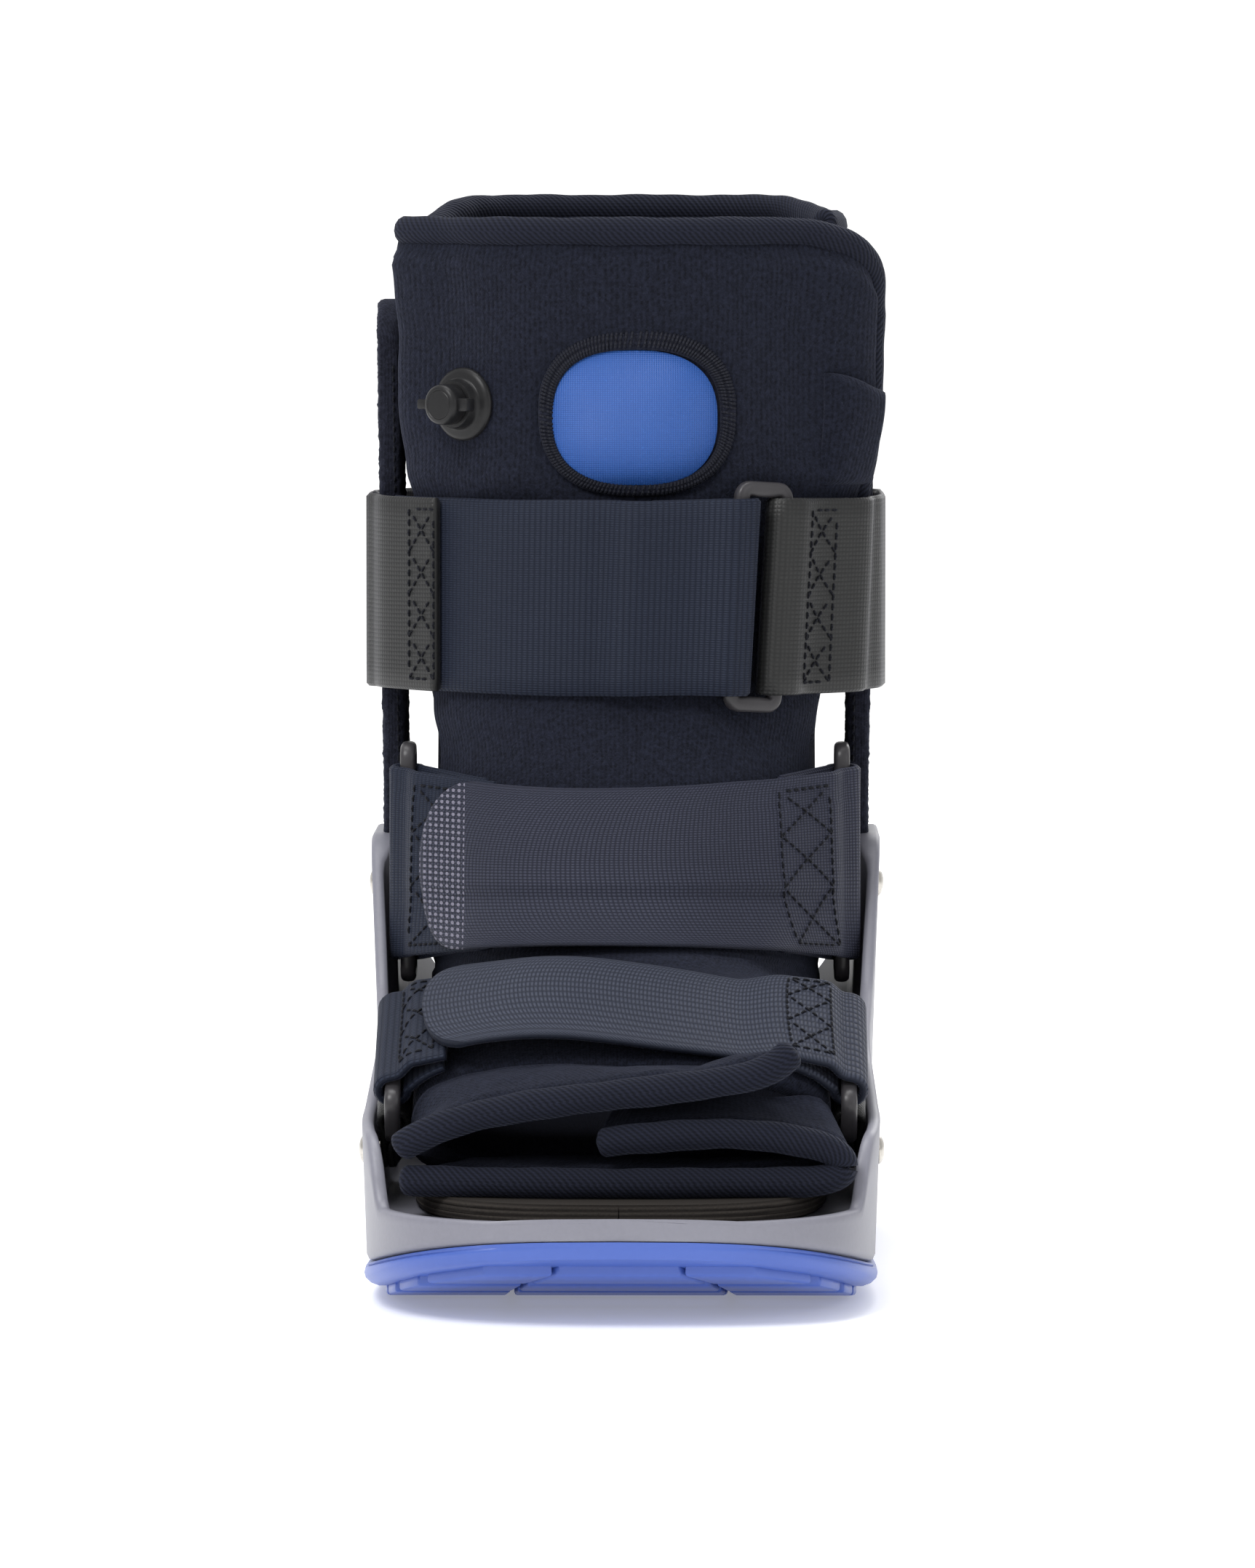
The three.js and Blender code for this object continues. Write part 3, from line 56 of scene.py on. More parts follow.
linerColumns = ("frontForward", "frontUp", "backForward", "backUp", "half", "front", "back")
linerRows = [
    (0.637, 0.125, 0.527, 0, 0.93, 2.8, 6),
    (0.390, 0.197, 0.212, 0, 0.92, 2.5, 6),
    (0.370, 0.204, -0.18, 0, 0.915, 2.4, 5),
    (0.349, 0.211, -0.60, 0, 0.91, 2.4, 4),
    (0.329, 0.218, -0.86, 0.02, 0.905, 2.4, 3.2),
    (0.301, 0.225, -0.955, 0.115, 0.90, 2.4, 2.8),
    (0.185, 0.311, -0.965, 0.285, 0.885, 2.4, 2.5),
    (0.089, 0.396, -0.944, 0.451, 0.88, 2.3, 2.4),
    (0.014, 0.478, -0.93, 0.516, 0.93, 2.3, 2.3),
    (-0.021, 0.572, -0.93, 0.593, 0.975, 2.4, 2.3),
    (-0.028, 0.700, -0.944, 0.700, 1, 2.5, 2.3),
    (-0.021, 0.850, -0.965, 0.850, 1, 2.5, 2.3),
    (0, 0.985, -0.986, 0.99, 1.03, 2.5, 2.3),
]
collarSection = len(linerRows) - 1
waist = [(-1, 0.80), (-0.70, 0.90), (-0.56, 1), (-0.20, 1), (0.14, 0.965), (0.48, 1), (1, 1)]
wallTop = [(-1, 0.53), (-0.82, 0.57), (-0.68, 0.70), (-0.57, 0.97), (-0.52, 1), (-0.25, 1), (-0.20, 0.97),
           (-0.12, 0.85), (0, 0.67), (0.20, 0.53), (0.45, 0.435), (0.62, 0.415), (0.71, 0.405), (0.745, 0.36),
           (0.78, 0.26)]


def clamp(value, low, high):
    return min(high, max(low, value))


def mix(a, b, share):
    return a + (b - a) * share


def smooth(value, low, high):
    share = clamp((value - low) / (high - low), 0, 1)
    return share * share * (3 - 2 * share)


def spread(count, low, high):
    return [mix(low, high, i / (count - 1)) for i in range(count)]


def power(value, exponent):
    return math.copysign(abs(value) ** exponent, value)


def bell(value, middle, width, exponent=2):
    return math.exp(-((value - middle) / width) ** exponent)


def bisected(low, high, rounds, isLow):
    for _ in range(rounds):
        middle = (low + high) / 2
        if isLow(middle):
            low = middle
        else:
            high = middle
    return low


def column(position, name):
    k = linerColumns.index(name)
    i = int(clamp(math.floor(position), 0, len(linerRows) - 2))

    def slope(j):
        if j <= 0 or j >= len(linerRows) - 1:
            return 0
        before = linerRows[j][k] - linerRows[j - 1][k]
        after = linerRows[j + 1][k] - linerRows[j][k]
        return 2 * before * after / (before + after) if before * after > 0 else 0

    step = linerRows[i + 1][k] - linerRows[i][k]
    start = step if i == 0 else slope(i)
    end = step if i == len(linerRows) - 2 else slope(i + 1)
    u = position - i
    bend = start * (u - 2 * u * u + u ** 3) + end * (u ** 3 - u * u)
    return linerRows[i][k] + step * (3 * u * u - 2 * u ** 3) + bend


def heightAt(share):
    return footbed + share * (collar - footbed)


sectionCache = {}


def sectionAt(position):
    key = round(position, 5)
    if key in sectionCache:
        return sectionCache[key]
    forward = column(position, "frontForward")
    frontY = -forward * (sole["toeReach"] if forward > 0 else sole["heelReach"])
    back = column(position, "backForward")
    backY = -back * (sole["toeReach"] if back > 0 else sole["heelReach"])
    frontZ = heightAt(column(position, "frontUp"))
    backZ = heightAt(column(position, "backUp"))
    length = math.hypot(frontY - backY, frontZ - backZ)
    section = {"y": (frontY + backY) / 2, "z": (frontZ + backZ) / 2, "dirY": (frontY - backY) / length,
               "dirZ": (frontZ - backZ) / length, "depth": length / 2, "half": column(position, "half") * linerHalf,
               "front": column(position, "front"), "back": column(position, "back")}
    sectionCache[key] = section
    return section


def outlinePoint(section, turn, grow):
    c = math.cos(turn * degree)
    exponent = section["front"] if c >= 0 else section["back"]
    return ((section["half"] + grow) * power(math.sin(turn * degree), 2 / exponent),
            (section["depth"] + grow) * power(c, 2 / exponent))


def inSpace(section, p):
    return Vector((p[0], section["y"] + section["dirY"] * p[1], section["z"] + section["dirZ"] * p[1]))


def linerPoint(position, turn, grow):
    section = sectionAt(position)
    return inSpace(section, outlinePoint(section, turn, grow))


def evenTurns(section, count, low, high):
    # turns spaced evenly by length along the outline
    fine = spread(361, low, high)
    points = [outlinePoint(section, t, 0) for t in fine]
    lengths = [0]
    for i in range(1, len(points)):
        lengths.append(lengths[-1] + math.dist(points[i - 1], points[i]))
    turns = []
    i = 0
    for k in range(count):
        wanted = lengths[-1] * k / (count - 1)
        while i < len(fine) - 2 and lengths[i + 1] < wanted:
            i += 1
        step = lengths[i + 1] - lengths[i]
        turns.append(mix(fine[i], fine[i + 1], clamp((wanted - lengths[i]) / step if step else 0, 0, 1)))
    return turns


def positionAtHeight(z):
    return bisected(0.0, float(collarSection), 30, lambda position: heightAt(column(position, "frontUp")) < z)


# Above the leg strap the front half spreads to both sides, past the uprights.
flare = {"left": 6.5, "right": 5.8, "start": 44, "full": 57, "low": 187, "high": 221}


def flared(p):
    reach = flare["left"] if p[0] < 0 else flare["right"]
    share = smooth(abs(p[0]), flare["start"], flare["full"]) * smooth(p[2], flare["low"], flare["high"])
    share *= 1 - smooth(p[1], 20, 37)
    return Vector((p[0] + math.copysign(reach * share, p[0]), p[1], p[2]))


def rimDrop(p):
    # the rear rim is lower at both sides than at the back
    left = 7.5 * (1 - smooth(p[0], -37, -17)) * smooth(p[1], 122, 80)
    right = 4 * smooth(p[0], 40, 56)
    return (left + right) * smooth(p[2], 238, 268)


# Mesh makers
pieces = {}


def linked(name, mesh, material=None):
    piece = bpy.data.objects.new(name, mesh)
    bpy.context.scene.collection.objects.link(piece)
    if material:
        mesh.materials.append(material)
        pieces[name] = piece
    return piece


def openMesh(piece):
    bm = bmesh.new()
    bm.from_mesh(piece.data)
    return bm


def closeMesh(bm, mesh, sharpAngle=None):
    bmesh.ops.recalc_face_normals(bm, faces=bm.faces)
    bm.to_mesh(mesh)
    bm.free()
    if sharpAngle:
        for polygon in mesh.polygons:
            polygon.use_smooth = True
        mesh.set_sharp_from_angle(angle=sharpAngle * degree)


def toObject(name, vertices, faces, uvs, material):
    mesh = bpy.data.meshes.new(name)
    mesh.from_pydata([Vector(v) * mm for v in vertices], [], faces)
    layer = mesh.uv_layers.new(name="cloth")
    for polygon in mesh.polygons:
        for k, loop in enumerate(polygon.loop_indices):
            layer.data[loop].uv = uvs[polygon.index][k]
        polygon.use_smooth = True
    piece = linked(name, mesh, material)
    closeMesh(openMesh(piece), mesh)
    return piece


def skin(rows, count, uvAt, closed=False, first=0):
    # quads between rings of count points, and their corners' places on the cloth
    faces, uvs = [], []
    for i in range(rows if closed else rows - 1):
        n = (i + 1) % rows
        for j in range(count):
            k = (j + 1) % count
            faces.append(tuple(first + corner for corner in (i * count + j, i * count + k, n * count + k,
                                                             n * count + j)))
            uvs.append((uvAt(i, j), uvAt(i, j + 1), uvAt(i + 1, j + 1), uvAt(i + 1, j)))
    return faces, uvs


def ringOf(centre, side, lift, wide, tall, sides):
    turns = [2 * math.pi * k / sides for k in range(sides)]
    return [centre + side * (math.cos(turn) * wide) + lift * (math.sin(turn) * tall) for turn in turns]


def arcLengths(points):
    lengths = [0]
    for i in range(1, len(points)):
        lengths.append(lengths[-1] + (points[i] - points[i - 1]).length)
    return lengths


def slabPiece(name, outer, inner, material, along=None, across=None):
    # closed slab between two grids of points, rows by columns, with edges of its own
    rows, count = len(outer), len(outer[0])
    loops = [list(outer[i]) + list(reversed(inner[i])) for i in range(rows)]
    size = 2 * count
    vertices = [p for loop in loops for p in loop]
    middle = rows // 2
    lengthsAlong = along or arcLengths(outer[middle])
    lengthsAcross = across or arcLengths([row[count // 2] for row in outer])

    def uvOf(i, j):
        k = j % size
        return (lengthsAlong[k if k < count else size - 1 - k] * mm, lengthsAcross[i] * mm)

    faces, uvs = skin(rows, size, uvOf)
    for i in (0, rows - 1):
        for j in range(count - 1):
            a, b, c, d = j, j + 1, size - 2 - j, size - 1 - j
            faces.append(tuple(i * size + n for n in (a, b, c, d)))
            uvs.append(tuple(uvOf(i, n) for n in (a, b, c, d)))
    return toObject(name, vertices, faces, uvs, material)


def tubePiece(name, outer, inner, material):
    # closed wall between an outer and an inner set of rings, joined at both ends
    loops = list(outer) + list(reversed(inner))
    count = len(loops[0])
    middle = outer[len(outer) // 2]
    lengthsAlong = arcLengths(list(middle) + [middle[0]])
    runs = arcLengths([loop[0] for loop in loops])
    runs.append(runs[-1] + linerWall)
    faces, uvs = skin(len(loops), count, lambda i, j: (lengthsAlong[j] * mm, runs[i] * mm), closed=True)
    return toObject(name, [p for loop in loops for p in loop], faces, uvs, material)


def catmull(points, count):
    # smooth run through the points, evenly spaced
    pts = [Vector(p) for p in points]
    fine = []
    for i in range(len(pts) - 1):
        a = pts[max(0, i - 1)]
        b, c = pts[i], pts[i + 1]
        d = pts[min(len(pts) - 1, i + 2)]
        for k in range(12):
            t = k / 12
            fine.append(0.5 * ((2 * b) + (c - a) * t + (2 * a - 5 * b + 4 * c - d) * t * t
                               + (3 * b - a - 3 * c + d) * t ** 3))
    fine.append(pts[-1])
    lengths = arcLengths(fine)
    run = []
    i = 0
    for k in range(count):
        wanted = lengths[-1] * k / (count - 1)
        while i < len(fine) - 2 and lengths[i + 1] < wanted:
            i += 1
        step = lengths[i + 1] - lengths[i]
        run.append(fine[i].lerp(fine[i + 1], clamp((wanted - lengths[i]) / step if step else 0, 0, 1)))
    return run


def frames(run):
    # tangent, side and lift at each point of a run
    result = []
    for i in range(len(run)):
        tangent = (run[min(len(run) - 1, i + 1)] - run[max(0, i - 1)]).normalized()
        side = tangent.cross(Vector((0, 0, 1))).normalized()
        result.append((tangent, side, side.cross(tangent).normalized()))
    return result


def rollPiece(name, run, wide, tall, material, relief=None, lifts=None):
    # soft roll along a run of points with rounded ends
    sides = 14
    endTaper = 0.6 * tall
    vertices = []
    lengths = arcLengths(run)
    full = lengths[-1]
    for i, (tangent, side, lift) in enumerate(frames(run)):
        if lifts:
            lift = lifts[i]
            side = tangent.cross(lift).normalized()
        share = clamp(min(lengths[i], full - lengths[i]) / endTaper, 0, 1)
        taper = max(0.05, math.sqrt(1 - (1 - share) ** 2))
        for k in range(sides):
            angle = 2 * math.pi * k / sides
            grow = 1 + (relief(lengths[i], angle) if relief else 0)
            vertices.append(run[i] + side * (math.cos(angle) * wide * taper * grow)
                            + lift * (math.sin(angle) * tall * taper * grow))
    around = math.pi * (wide + tall)
    faces, uvs = skin(len(run), sides, lambda i, k: (lengths[i] * mm, k / sides * around * mm))
    last = (len(run) - 1) * sides
    faces += [tuple(range(sides)), tuple(last + k for k in range(sides))]
    uvs += [((0, 0),) * sides, ((full * mm, 0),) * sides]
    return toObject(name, vertices, faces, uvs, material)


def lathePiece(name, profile, base, axis, material, sides=48):
    # profile of radius and height turned about an axis
    bm = bmesh.new()
    path = [bm.verts.new((r, 0, h)) for r, h in profile]
    for a, b in zip(path, path[1:]):
        bm.edges.new((a, b))
    bmesh.ops.spin(bm, geom=bm.verts[:] + bm.edges[:], cent=(0, 0, 0), axis=(0, 0, 1), angle=2 * math.pi,
                   steps=sides, use_duplicate=False)
    bmesh.ops.remove_doubles(bm, verts=bm.verts, dist=0.01)
    turn = Vector((0, 0, 1)).rotation_difference(Vector(axis)).to_matrix().to_4x4()
    bm.transform(Matrix.Scale(mm, 4) @ Matrix.Translation(base) @ turn)
    return finishBmesh(name, bm, material)


def finishBmesh(name, bm, material, angle=40):
    mesh = bpy.data.meshes.new(name)
    closeMesh(bm, mesh, angle)
    return linked(name, mesh, material)


def place(piece, nodes, body="root"):
    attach(piece, body)
    if nodes:
        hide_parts(*nodes)
    return piece


# Shared shader groups
def newGroup(name, inputs, outputs):
    group = bpy.data.node_groups.new(name, "ShaderNodeTree")
    for label, kind, value in inputs:
        socket = group.interface.new_socket(name=label, in_out="INPUT", socket_type=kind)
        if value is not None:
            socket.default_value = value
    for label, kind in outputs:
        group.interface.new_socket(name=label, in_out="OUTPUT", socket_type=kind)
    start = group.nodes.new("NodeGroupInput")
    end = group.nodes.new("NodeGroupOutput")
    return group, start, end


def mathNode(tree, operation, a, b=None, c=None):
    node = tree.nodes.new("ShaderNodeMath")
    node.operation = operation
    for k, value in enumerate((a, b, c)):
        if value is None:
            continue
        if isinstance(value, (int, float)):
            node.inputs[k].default_value = value
        else:
            tree.links.new(value, node.inputs[k])
    return node.outputs[0]


def product(tree, a, b):
    return mathNode(tree, "MULTIPLY", a, b)


def wave(tree, value, pitch):
    # smooth ridges, 0 to 1, one each pitch
    turn = product(tree, value, 2 * math.pi / pitch)
    return mathNode(tree, "MULTIPLY_ADD", mathNode(tree, "COSINE", turn), 0.5, 0.5)


def noiseNode(tree, vector, scale, detail=2, roughness=0.5):
    node = tree.nodes.new("ShaderNodeTexNoise")
    node.inputs["Scale"].default_value = scale
    node.inputs["Detail"].default_value = detail
    node.inputs["Roughness"].default_value = roughness
    tree.links.new(vector, node.inputs["Vector"])
    return node.outputs["Fac"]


def splitNode(tree, vector):
    node = tree.nodes.new("ShaderNodeSeparateXYZ")
    tree.links.new(vector, node.inputs[0])
    return node.outputs


def makeRibs():
    # raised ribs across the first coordinate, broken into small stitches along the second
    group, start, end = newGroup("knitRibs", [
        ("Vector", "NodeSocketVector", None), ("Pitch", "NodeSocketFloat", 0.0012),
        ("Stitch", "NodeSocketFloat", 0.0009)], [("Height", "NodeSocketFloat"), ("Mask", "NodeSocketFloat")])
    split = splitNode(group, start.outputs["Vector"])
    wobble = product(group, noiseNode(group, start.outputs["Vector"], 160), 0.0006)
    u = mathNode(group, "DIVIDE", mathNode(group, "ADD", split["X"], wobble), start.outputs["Pitch"])
    v = mathNode(group, "DIVIDE", split["Y"], start.outputs["Stitch"])
    rib = wave(group, u, 1)
    slant = mathNode(group, "ADD", v, mathNode(group, "ABSOLUTE", mathNode(group, "SINE", product(group, u, math.pi))))
    stitch = wave(group, slant, 1)
    height = mathNode(group, "ADD", product(group, rib, 0.75), product(group, stitch, 0.25))
    group.links.new(height, end.inputs["Height"])
    group.links.new(rib, end.inputs["Mask"])
    return group


def makeTwill():
    # slanted ridges of a twill binding
    group, start, end = newGroup("twillRidges", [
        ("Vector", "NodeSocketVector", None), ("Pitch", "NodeSocketFloat", 0.0022),
        ("Slant", "NodeSocketFloat", 0.8)], [("Height", "NodeSocketFloat")])
    split = splitNode(group, start.outputs["Vector"])
    wobble = product(group, noiseNode(group, start.outputs["Vector"], 220), 0.0007)
    run = mathNode(group, "MULTIPLY_ADD", split["Y"], start.outputs["Slant"], split["X"])
    ridge = wave(group, mathNode(group, "DIVIDE", mathNode(group, "ADD", run, wobble), start.outputs["Pitch"]), 1)
    thread = wave(group, mathNode(group, "DIVIDE", split["Y"], 0.0008), 1)
    height = mathNode(group, "ADD", product(group, ridge, 0.8), product(group, thread, 0.2))
    group.links.new(height, end.inputs["Height"])
    return group


def makeWeave():
    # plain weave of warp and weft threads
    group, start, end = newGroup("plainWeave", [
        ("Vector", "NodeSocketVector", None), ("Warp", "NodeSocketFloat", 0.0008),
        ("Weft", "NodeSocketFloat", 0.0008)], [("Height", "NodeSocketFloat"), ("Mask", "NodeSocketFloat")])
    split = splitNode(group, start.outputs["Vector"])
    u = mathNode(group, "DIVIDE", split["X"], start.outputs["Warp"])
    v = mathNode(group, "DIVIDE", split["Y"], start.outputs["Weft"])
    a = mathNode(group, "SINE", product(group, u, math.pi))
    b = mathNode(group, "SINE", product(group, v, math.pi))
    over = product(group, a, b)
    mask = mathNode(group, "GREATER_THAN", over, 0)
    height = mathNode(group, "ABSOLUTE", over)
    group.links.new(height, end.inputs["Height"])
    group.links.new(mask, end.inputs["Mask"])
    return group


def makeSpeckle():
    # lint, dust and slow variation of tone
    group, start, end = newGroup("clothSpeckle", [
        ("Vector", "NodeSocketVector", None), ("Fine", "NodeSocketFloat", 2600.0), ("Broad", "NodeSocketFloat", 22.0)],
        [("Lint", "NodeSocketFloat"), ("Tone", "NodeSocketFloat"), ("Nap", "NodeSocketFloat")])
    fine = group.nodes.new("ShaderNodeTexNoise")
    group.links.new(start.outputs["Vector"], fine.inputs["Vector"])
    group.links.new(start.outputs["Fine"], fine.inputs["Scale"])
    lint = group.nodes.new("ShaderNodeMapRange")
    lint.inputs["From Min"].default_value = 0.66
    lint.inputs["From Max"].default_value = 0.78
    group.links.new(fine.outputs["Fac"], lint.inputs["Value"])
    broad = group.nodes.new("ShaderNodeTexNoise")
    broad.inputs["Detail"].default_value = 3
    group.links.new(start.outputs["Vector"], broad.inputs["Vector"])
    group.links.new(start.outputs["Broad"], broad.inputs["Scale"])
    group.links.new(lint.outputs["Result"], end.inputs["Lint"])
    group.links.new(broad.outputs["Fac"], end.inputs["Tone"])
    group.links.new(fine.outputs["Fac"], end.inputs["Nap"])
    return group


groups = {"ribs": makeRibs(), "twill": makeTwill(), "weave": makeWeave(), "speckle": makeSpeckle()}


def newMaterial(name, roughness, **shader):
    material = bpy.data.materials.new(name)
    material.use_nodes = True
    tree = material.node_tree
    principled = tree.nodes["Principled BSDF"]
    principled.inputs["Roughness"].default_value = roughness
    for label, value in shader.items():
        principled.inputs[label.replace("_", " ")].default_value = value
    return material, tree, principled


def coords(tree, kind="UV"):
    return tree.nodes.new("ShaderNodeTexCoord").outputs[kind]


def useGroup(tree, name, vector, **values):
    node = tree.nodes.new("ShaderNodeGroup")
    node.node_tree = groups[name]
    tree.links.new(vector, node.inputs["Vector"])
    for label, value in values.items():
        node.inputs[label].default_value = value
    return node.outputs


def brighter(colour, factor, lift=0.0):
    return tuple(min(1, c * factor + lift) for c in colour)


def mixColour(tree, share, dark, light):
    node = tree.nodes.new("ShaderNodeMix")
    node.data_type = "RGBA"
    if isinstance(share, (int, float)):
        node.inputs["Factor"].default_value = share
    else:
        tree.links.new(share, node.inputs["Factor"])
    for k, value in ((6, dark), (7, light)):
        if isinstance(value, tuple):
            node.inputs[k].default_value = (*value, 1)
        else:
            tree.links.new(value, node.inputs[k])
    return node.outputs[2]


def bumpNode(tree, principled, layers):
    # layers of height, strength and distance, the last on top
    normal = None
    for height, strength, distance in layers:
        node = tree.nodes.new("ShaderNodeBump")
        node.inputs["Strength"].default_value = strength
        node.inputs["Distance"].default_value = distance
        tree.links.new(height, node.inputs["Height"])
        if normal:
            tree.links.new(normal, node.inputs["Normal"])
        normal = node.outputs[0]
    tree.links.new(normal, principled.inputs["Normal"])


def velour(name, dark, light, pitch=0.0013, ribs=0.35, lint=0.4):
    material, tree, principled = newMaterial(
        name, 0.95, Sheen_Weight=0.07, Sheen_Roughness=0.5, Sheen_Tint=(0.42, 0.47, 0.72, 1), Specular_IOR_Level=0.14)
    uv = coords(tree)
    rib = useGroup(tree, "ribs", uv, Pitch=pitch, Stitch=pitch * 0.8)
    speckle = useGroup(tree, "speckle", coords(tree, "Object"), Fine=2300.0, Broad=18.0)
    ribbed = mixColour(tree, rib["Height"], dark, light)
    toned = mixColour(tree, product(tree, speckle["Tone"], 0.6), ribbed, dark)
    clump = tree.nodes.new("ShaderNodeMapRange")
    clump.inputs["From Min"].default_value = 0.40
    clump.inputs["From Max"].default_value = 0.72
    tree.links.new(noiseNode(tree, coords(tree, "Object"), 900, 4, 0.7), clump.inputs["Value"])
    fleece = mixColour(tree, product(tree, clump.outputs["Result"], 0.75), toned,
                       brighter(light, 1.8))
    linted = mixColour(tree, product(tree, speckle["Lint"], lint), fleece,
                       brighter(light, 3.2, 0.01))
    tree.links.new(linted, principled.inputs["Base Color"])
    bumpNode(tree, principled, [(clump.outputs["Result"], 0.5, 0.0005), (speckle["Nap"], 0.3, 0.0003),
                                (rib["Height"], ribs, 0.0004)])
    return material


def twillCloth(name, dark, light):
    material, tree, principled = newMaterial(
        name, 0.88, Sheen_Weight=0.06, Sheen_Roughness=0.45, Sheen_Tint=(0.45, 0.5, 0.7, 1), Specular_IOR_Level=0.16)
    ridge = useGroup(tree, "twill", coords(tree), Pitch=0.0016, Slant=0.9)
    speckle = useGroup(tree, "speckle", coords(tree, "Object"), Fine=2600.0, Broad=30.0)
    base = mixColour(tree, ridge["Height"], dark, light)
    toned = mixColour(tree, product(tree, speckle["Tone"], 0.5), base, dark)
    tree.links.new(toned, principled.inputs["Base Color"])
    bumpNode(tree, principled, [(speckle["Nap"], 0.2, 0.0003), (ridge["Height"], 0.55, 0.0005)])
    return material


def webCloth(name, dark, light, warp, weft, roughness=0.7, bump=0.5, lint=0.25, sheen=0.05, shine=0.12):
    material, tree, principled = newMaterial(
        name, roughness, Sheen_Weight=sheen, Sheen_Roughness=0.4, Sheen_Tint=(0.6, 0.63, 0.8, 1),
        Specular_IOR_Level=shine)
    weave = useGroup(tree, "weave", coords(tree), Warp=warp, Weft=weft)
    speckle = useGroup(tree, "speckle", coords(tree, "Object"), Fine=2400.0, Broad=26.0)
    base = mixColour(tree, weave["Height"], dark, light)
    toned = mixColour(tree, product(tree, speckle["Tone"], 0.5), base, dark)
    linted = mixColour(tree, product(tree, speckle["Lint"], lint), toned,
                       brighter(light, 2.6, 0.01))
    tree.links.new(linted, principled.inputs["Base Color"])
    bumpNode(tree, principled, [(weave["Height"], bump, 0.0004)])
    return material


def plastic(name, dark, light, roughness=0.45, grain=900, bump=0.12, dust=0.15, shine=0.4):
    material, tree, principled = newMaterial(name, roughness, Specular_IOR_Level=shine)
    spot = coords(tree, "Object")
    tone = noiseNode(tree, spot, 14, 4, 0.6)
    fine = noiseNode(tree, spot, grain, 2)
    base = mixColour(tree, tone, dark, light)
    dusty = mixColour(tree, product(tree, fine, dust), base, brighter(light, 1.5, 0.02))
    tree.links.new(dusty, principled.inputs["Base Color"])
    rough = mathNode(tree, "MULTIPLY_ADD", tone, 0.22, roughness - 0.11)
    tree.links.new(rough, principled.inputs["Roughness"])
    bumpNode(tree, principled, [(fine, bump, 0.0002)])
    return material


def addMeshDots(material, until, pitch, colour):
    # open mesh whose pale crossings show, on the side of lower x
    tree = material.node_tree
    principled = tree.nodes["Principled BSDF"]
    split = splitNode(tree, coords(tree, "Object"))
    a = wave(tree, split["X"], pitch)
    b = wave(tree, split["Z"], pitch)
    dots = mathNode(tree, "GREATER_THAN", product(tree, a, b), 0.42)
    zone = mathNode(tree, "LESS_THAN", split["X"], until)
    before = principled.inputs["Base Color"].links[0].from_socket
    mixed = mixColour(tree, product(tree, dots, zone), before, colour)
    tree.links.new(mixed, principled.inputs["Base Color"])


cloth = {
    "liner": velour("linerVelour", (0.0022, 0.0027, 0.0055), (0.0080, 0.0095, 0.0175)),
    "loop": velour("loopPile", (0.0026, 0.003, 0.006), (0.011, 0.012, 0.020), pitch=0.0008, ribs=0.3, lint=0.7),
    "binding": twillCloth("twillBinding", (0.0022, 0.0028, 0.0062), (0.0140, 0.0165, 0.0310)),
    "window": webCloth("blueKnit", (0.008, 0.050, 0.230), (0.022, 0.106, 0.385), 0.0006, 0.0005, 0.46, 0.4, 0.2, 0.03,
                       0.45),
    "navy": webCloth("navyWeave", (0.0060, 0.0082, 0.0165), (0.022, 0.028, 0.047), 0.0015, 0.0006, 0.62, 0.5),
    "ankle": webCloth("ankleWeave", (0.0100, 0.0112, 0.0195), (0.047, 0.051, 0.078), 0.0012, 0.0008, 0.58, 0.6),
    "foot": webCloth("footWeave", (0.0120, 0.0145, 0.0240), (0.055, 0.062, 0.088), 0.0010, 0.0022, 0.58, 0.6),
    "web": webCloth("coatedWebbing", (0.0105, 0.0108, 0.0108), (0.0205, 0.0208, 0.0206), 0.0011, 0.0011, 0.45, 0.25,
                    0.1, shine=0.26),
    "overlock": webCloth("overlockThread", (0.005, 0.0055, 0.0085), (0.026, 0.028, 0.040), 0.0003, 0.0003, 0.6, 0.3,
                         0.0),
    "thread": webCloth("thread", (0.002, 0.0023, 0.004), (0.010, 0.011, 0.016), 0.0003, 0.0003, 0.6, 0.3, 0.0),
}
addMeshDots(cloth["ankle"], -0.0405, 0.0015, (0.16, 0.155, 0.20))
hard = {
    "shell": plastic("grayPlastic", (0.140, 0.140, 0.170), (0.188, 0.189, 0.222), 0.42),
    "sole": plastic("blueRubber", (0.038, 0.080, 0.31), (0.060, 0.112, 0.40), 0.38, 700, 0.1, 0.1),
    "fitting": plastic("darkPlastic", (0.022, 0.021, 0.023), (0.038, 0.036, 0.040), 0.34, 1100, 0.1, 0.1, 0.3),
    "valve": plastic("blackPlastic", (0.006, 0.006, 0.0065), (0.012, 0.012, 0.013), 0.38, 1100, 0.1, 0.1, 0.22),
}


def foamMaterial():
    material, tree, principled = newMaterial("layeredFoam", 0.95, Specular_IOR_Level=0.15)
    spot = coords(tree, "Object")
    split = splitNode(tree, spot)
    layer = wave(tree, split["Z"], 0.0013)
    fine = noiseNode(tree, spot, 1500, 3, 0.6)
    base = mixColour(tree, layer, (0.012, 0.010, 0.009), (0.048, 0.042, 0.037))
    cells = mixColour(tree, fine, base, (0.022, 0.019, 0.017))
    tree.links.new(cells, principled.inputs["Base Color"])
    bumpNode(tree, principled, [(fine, 0.5, 0.0004), (layer, 0.35, 0.0003)])
    return material


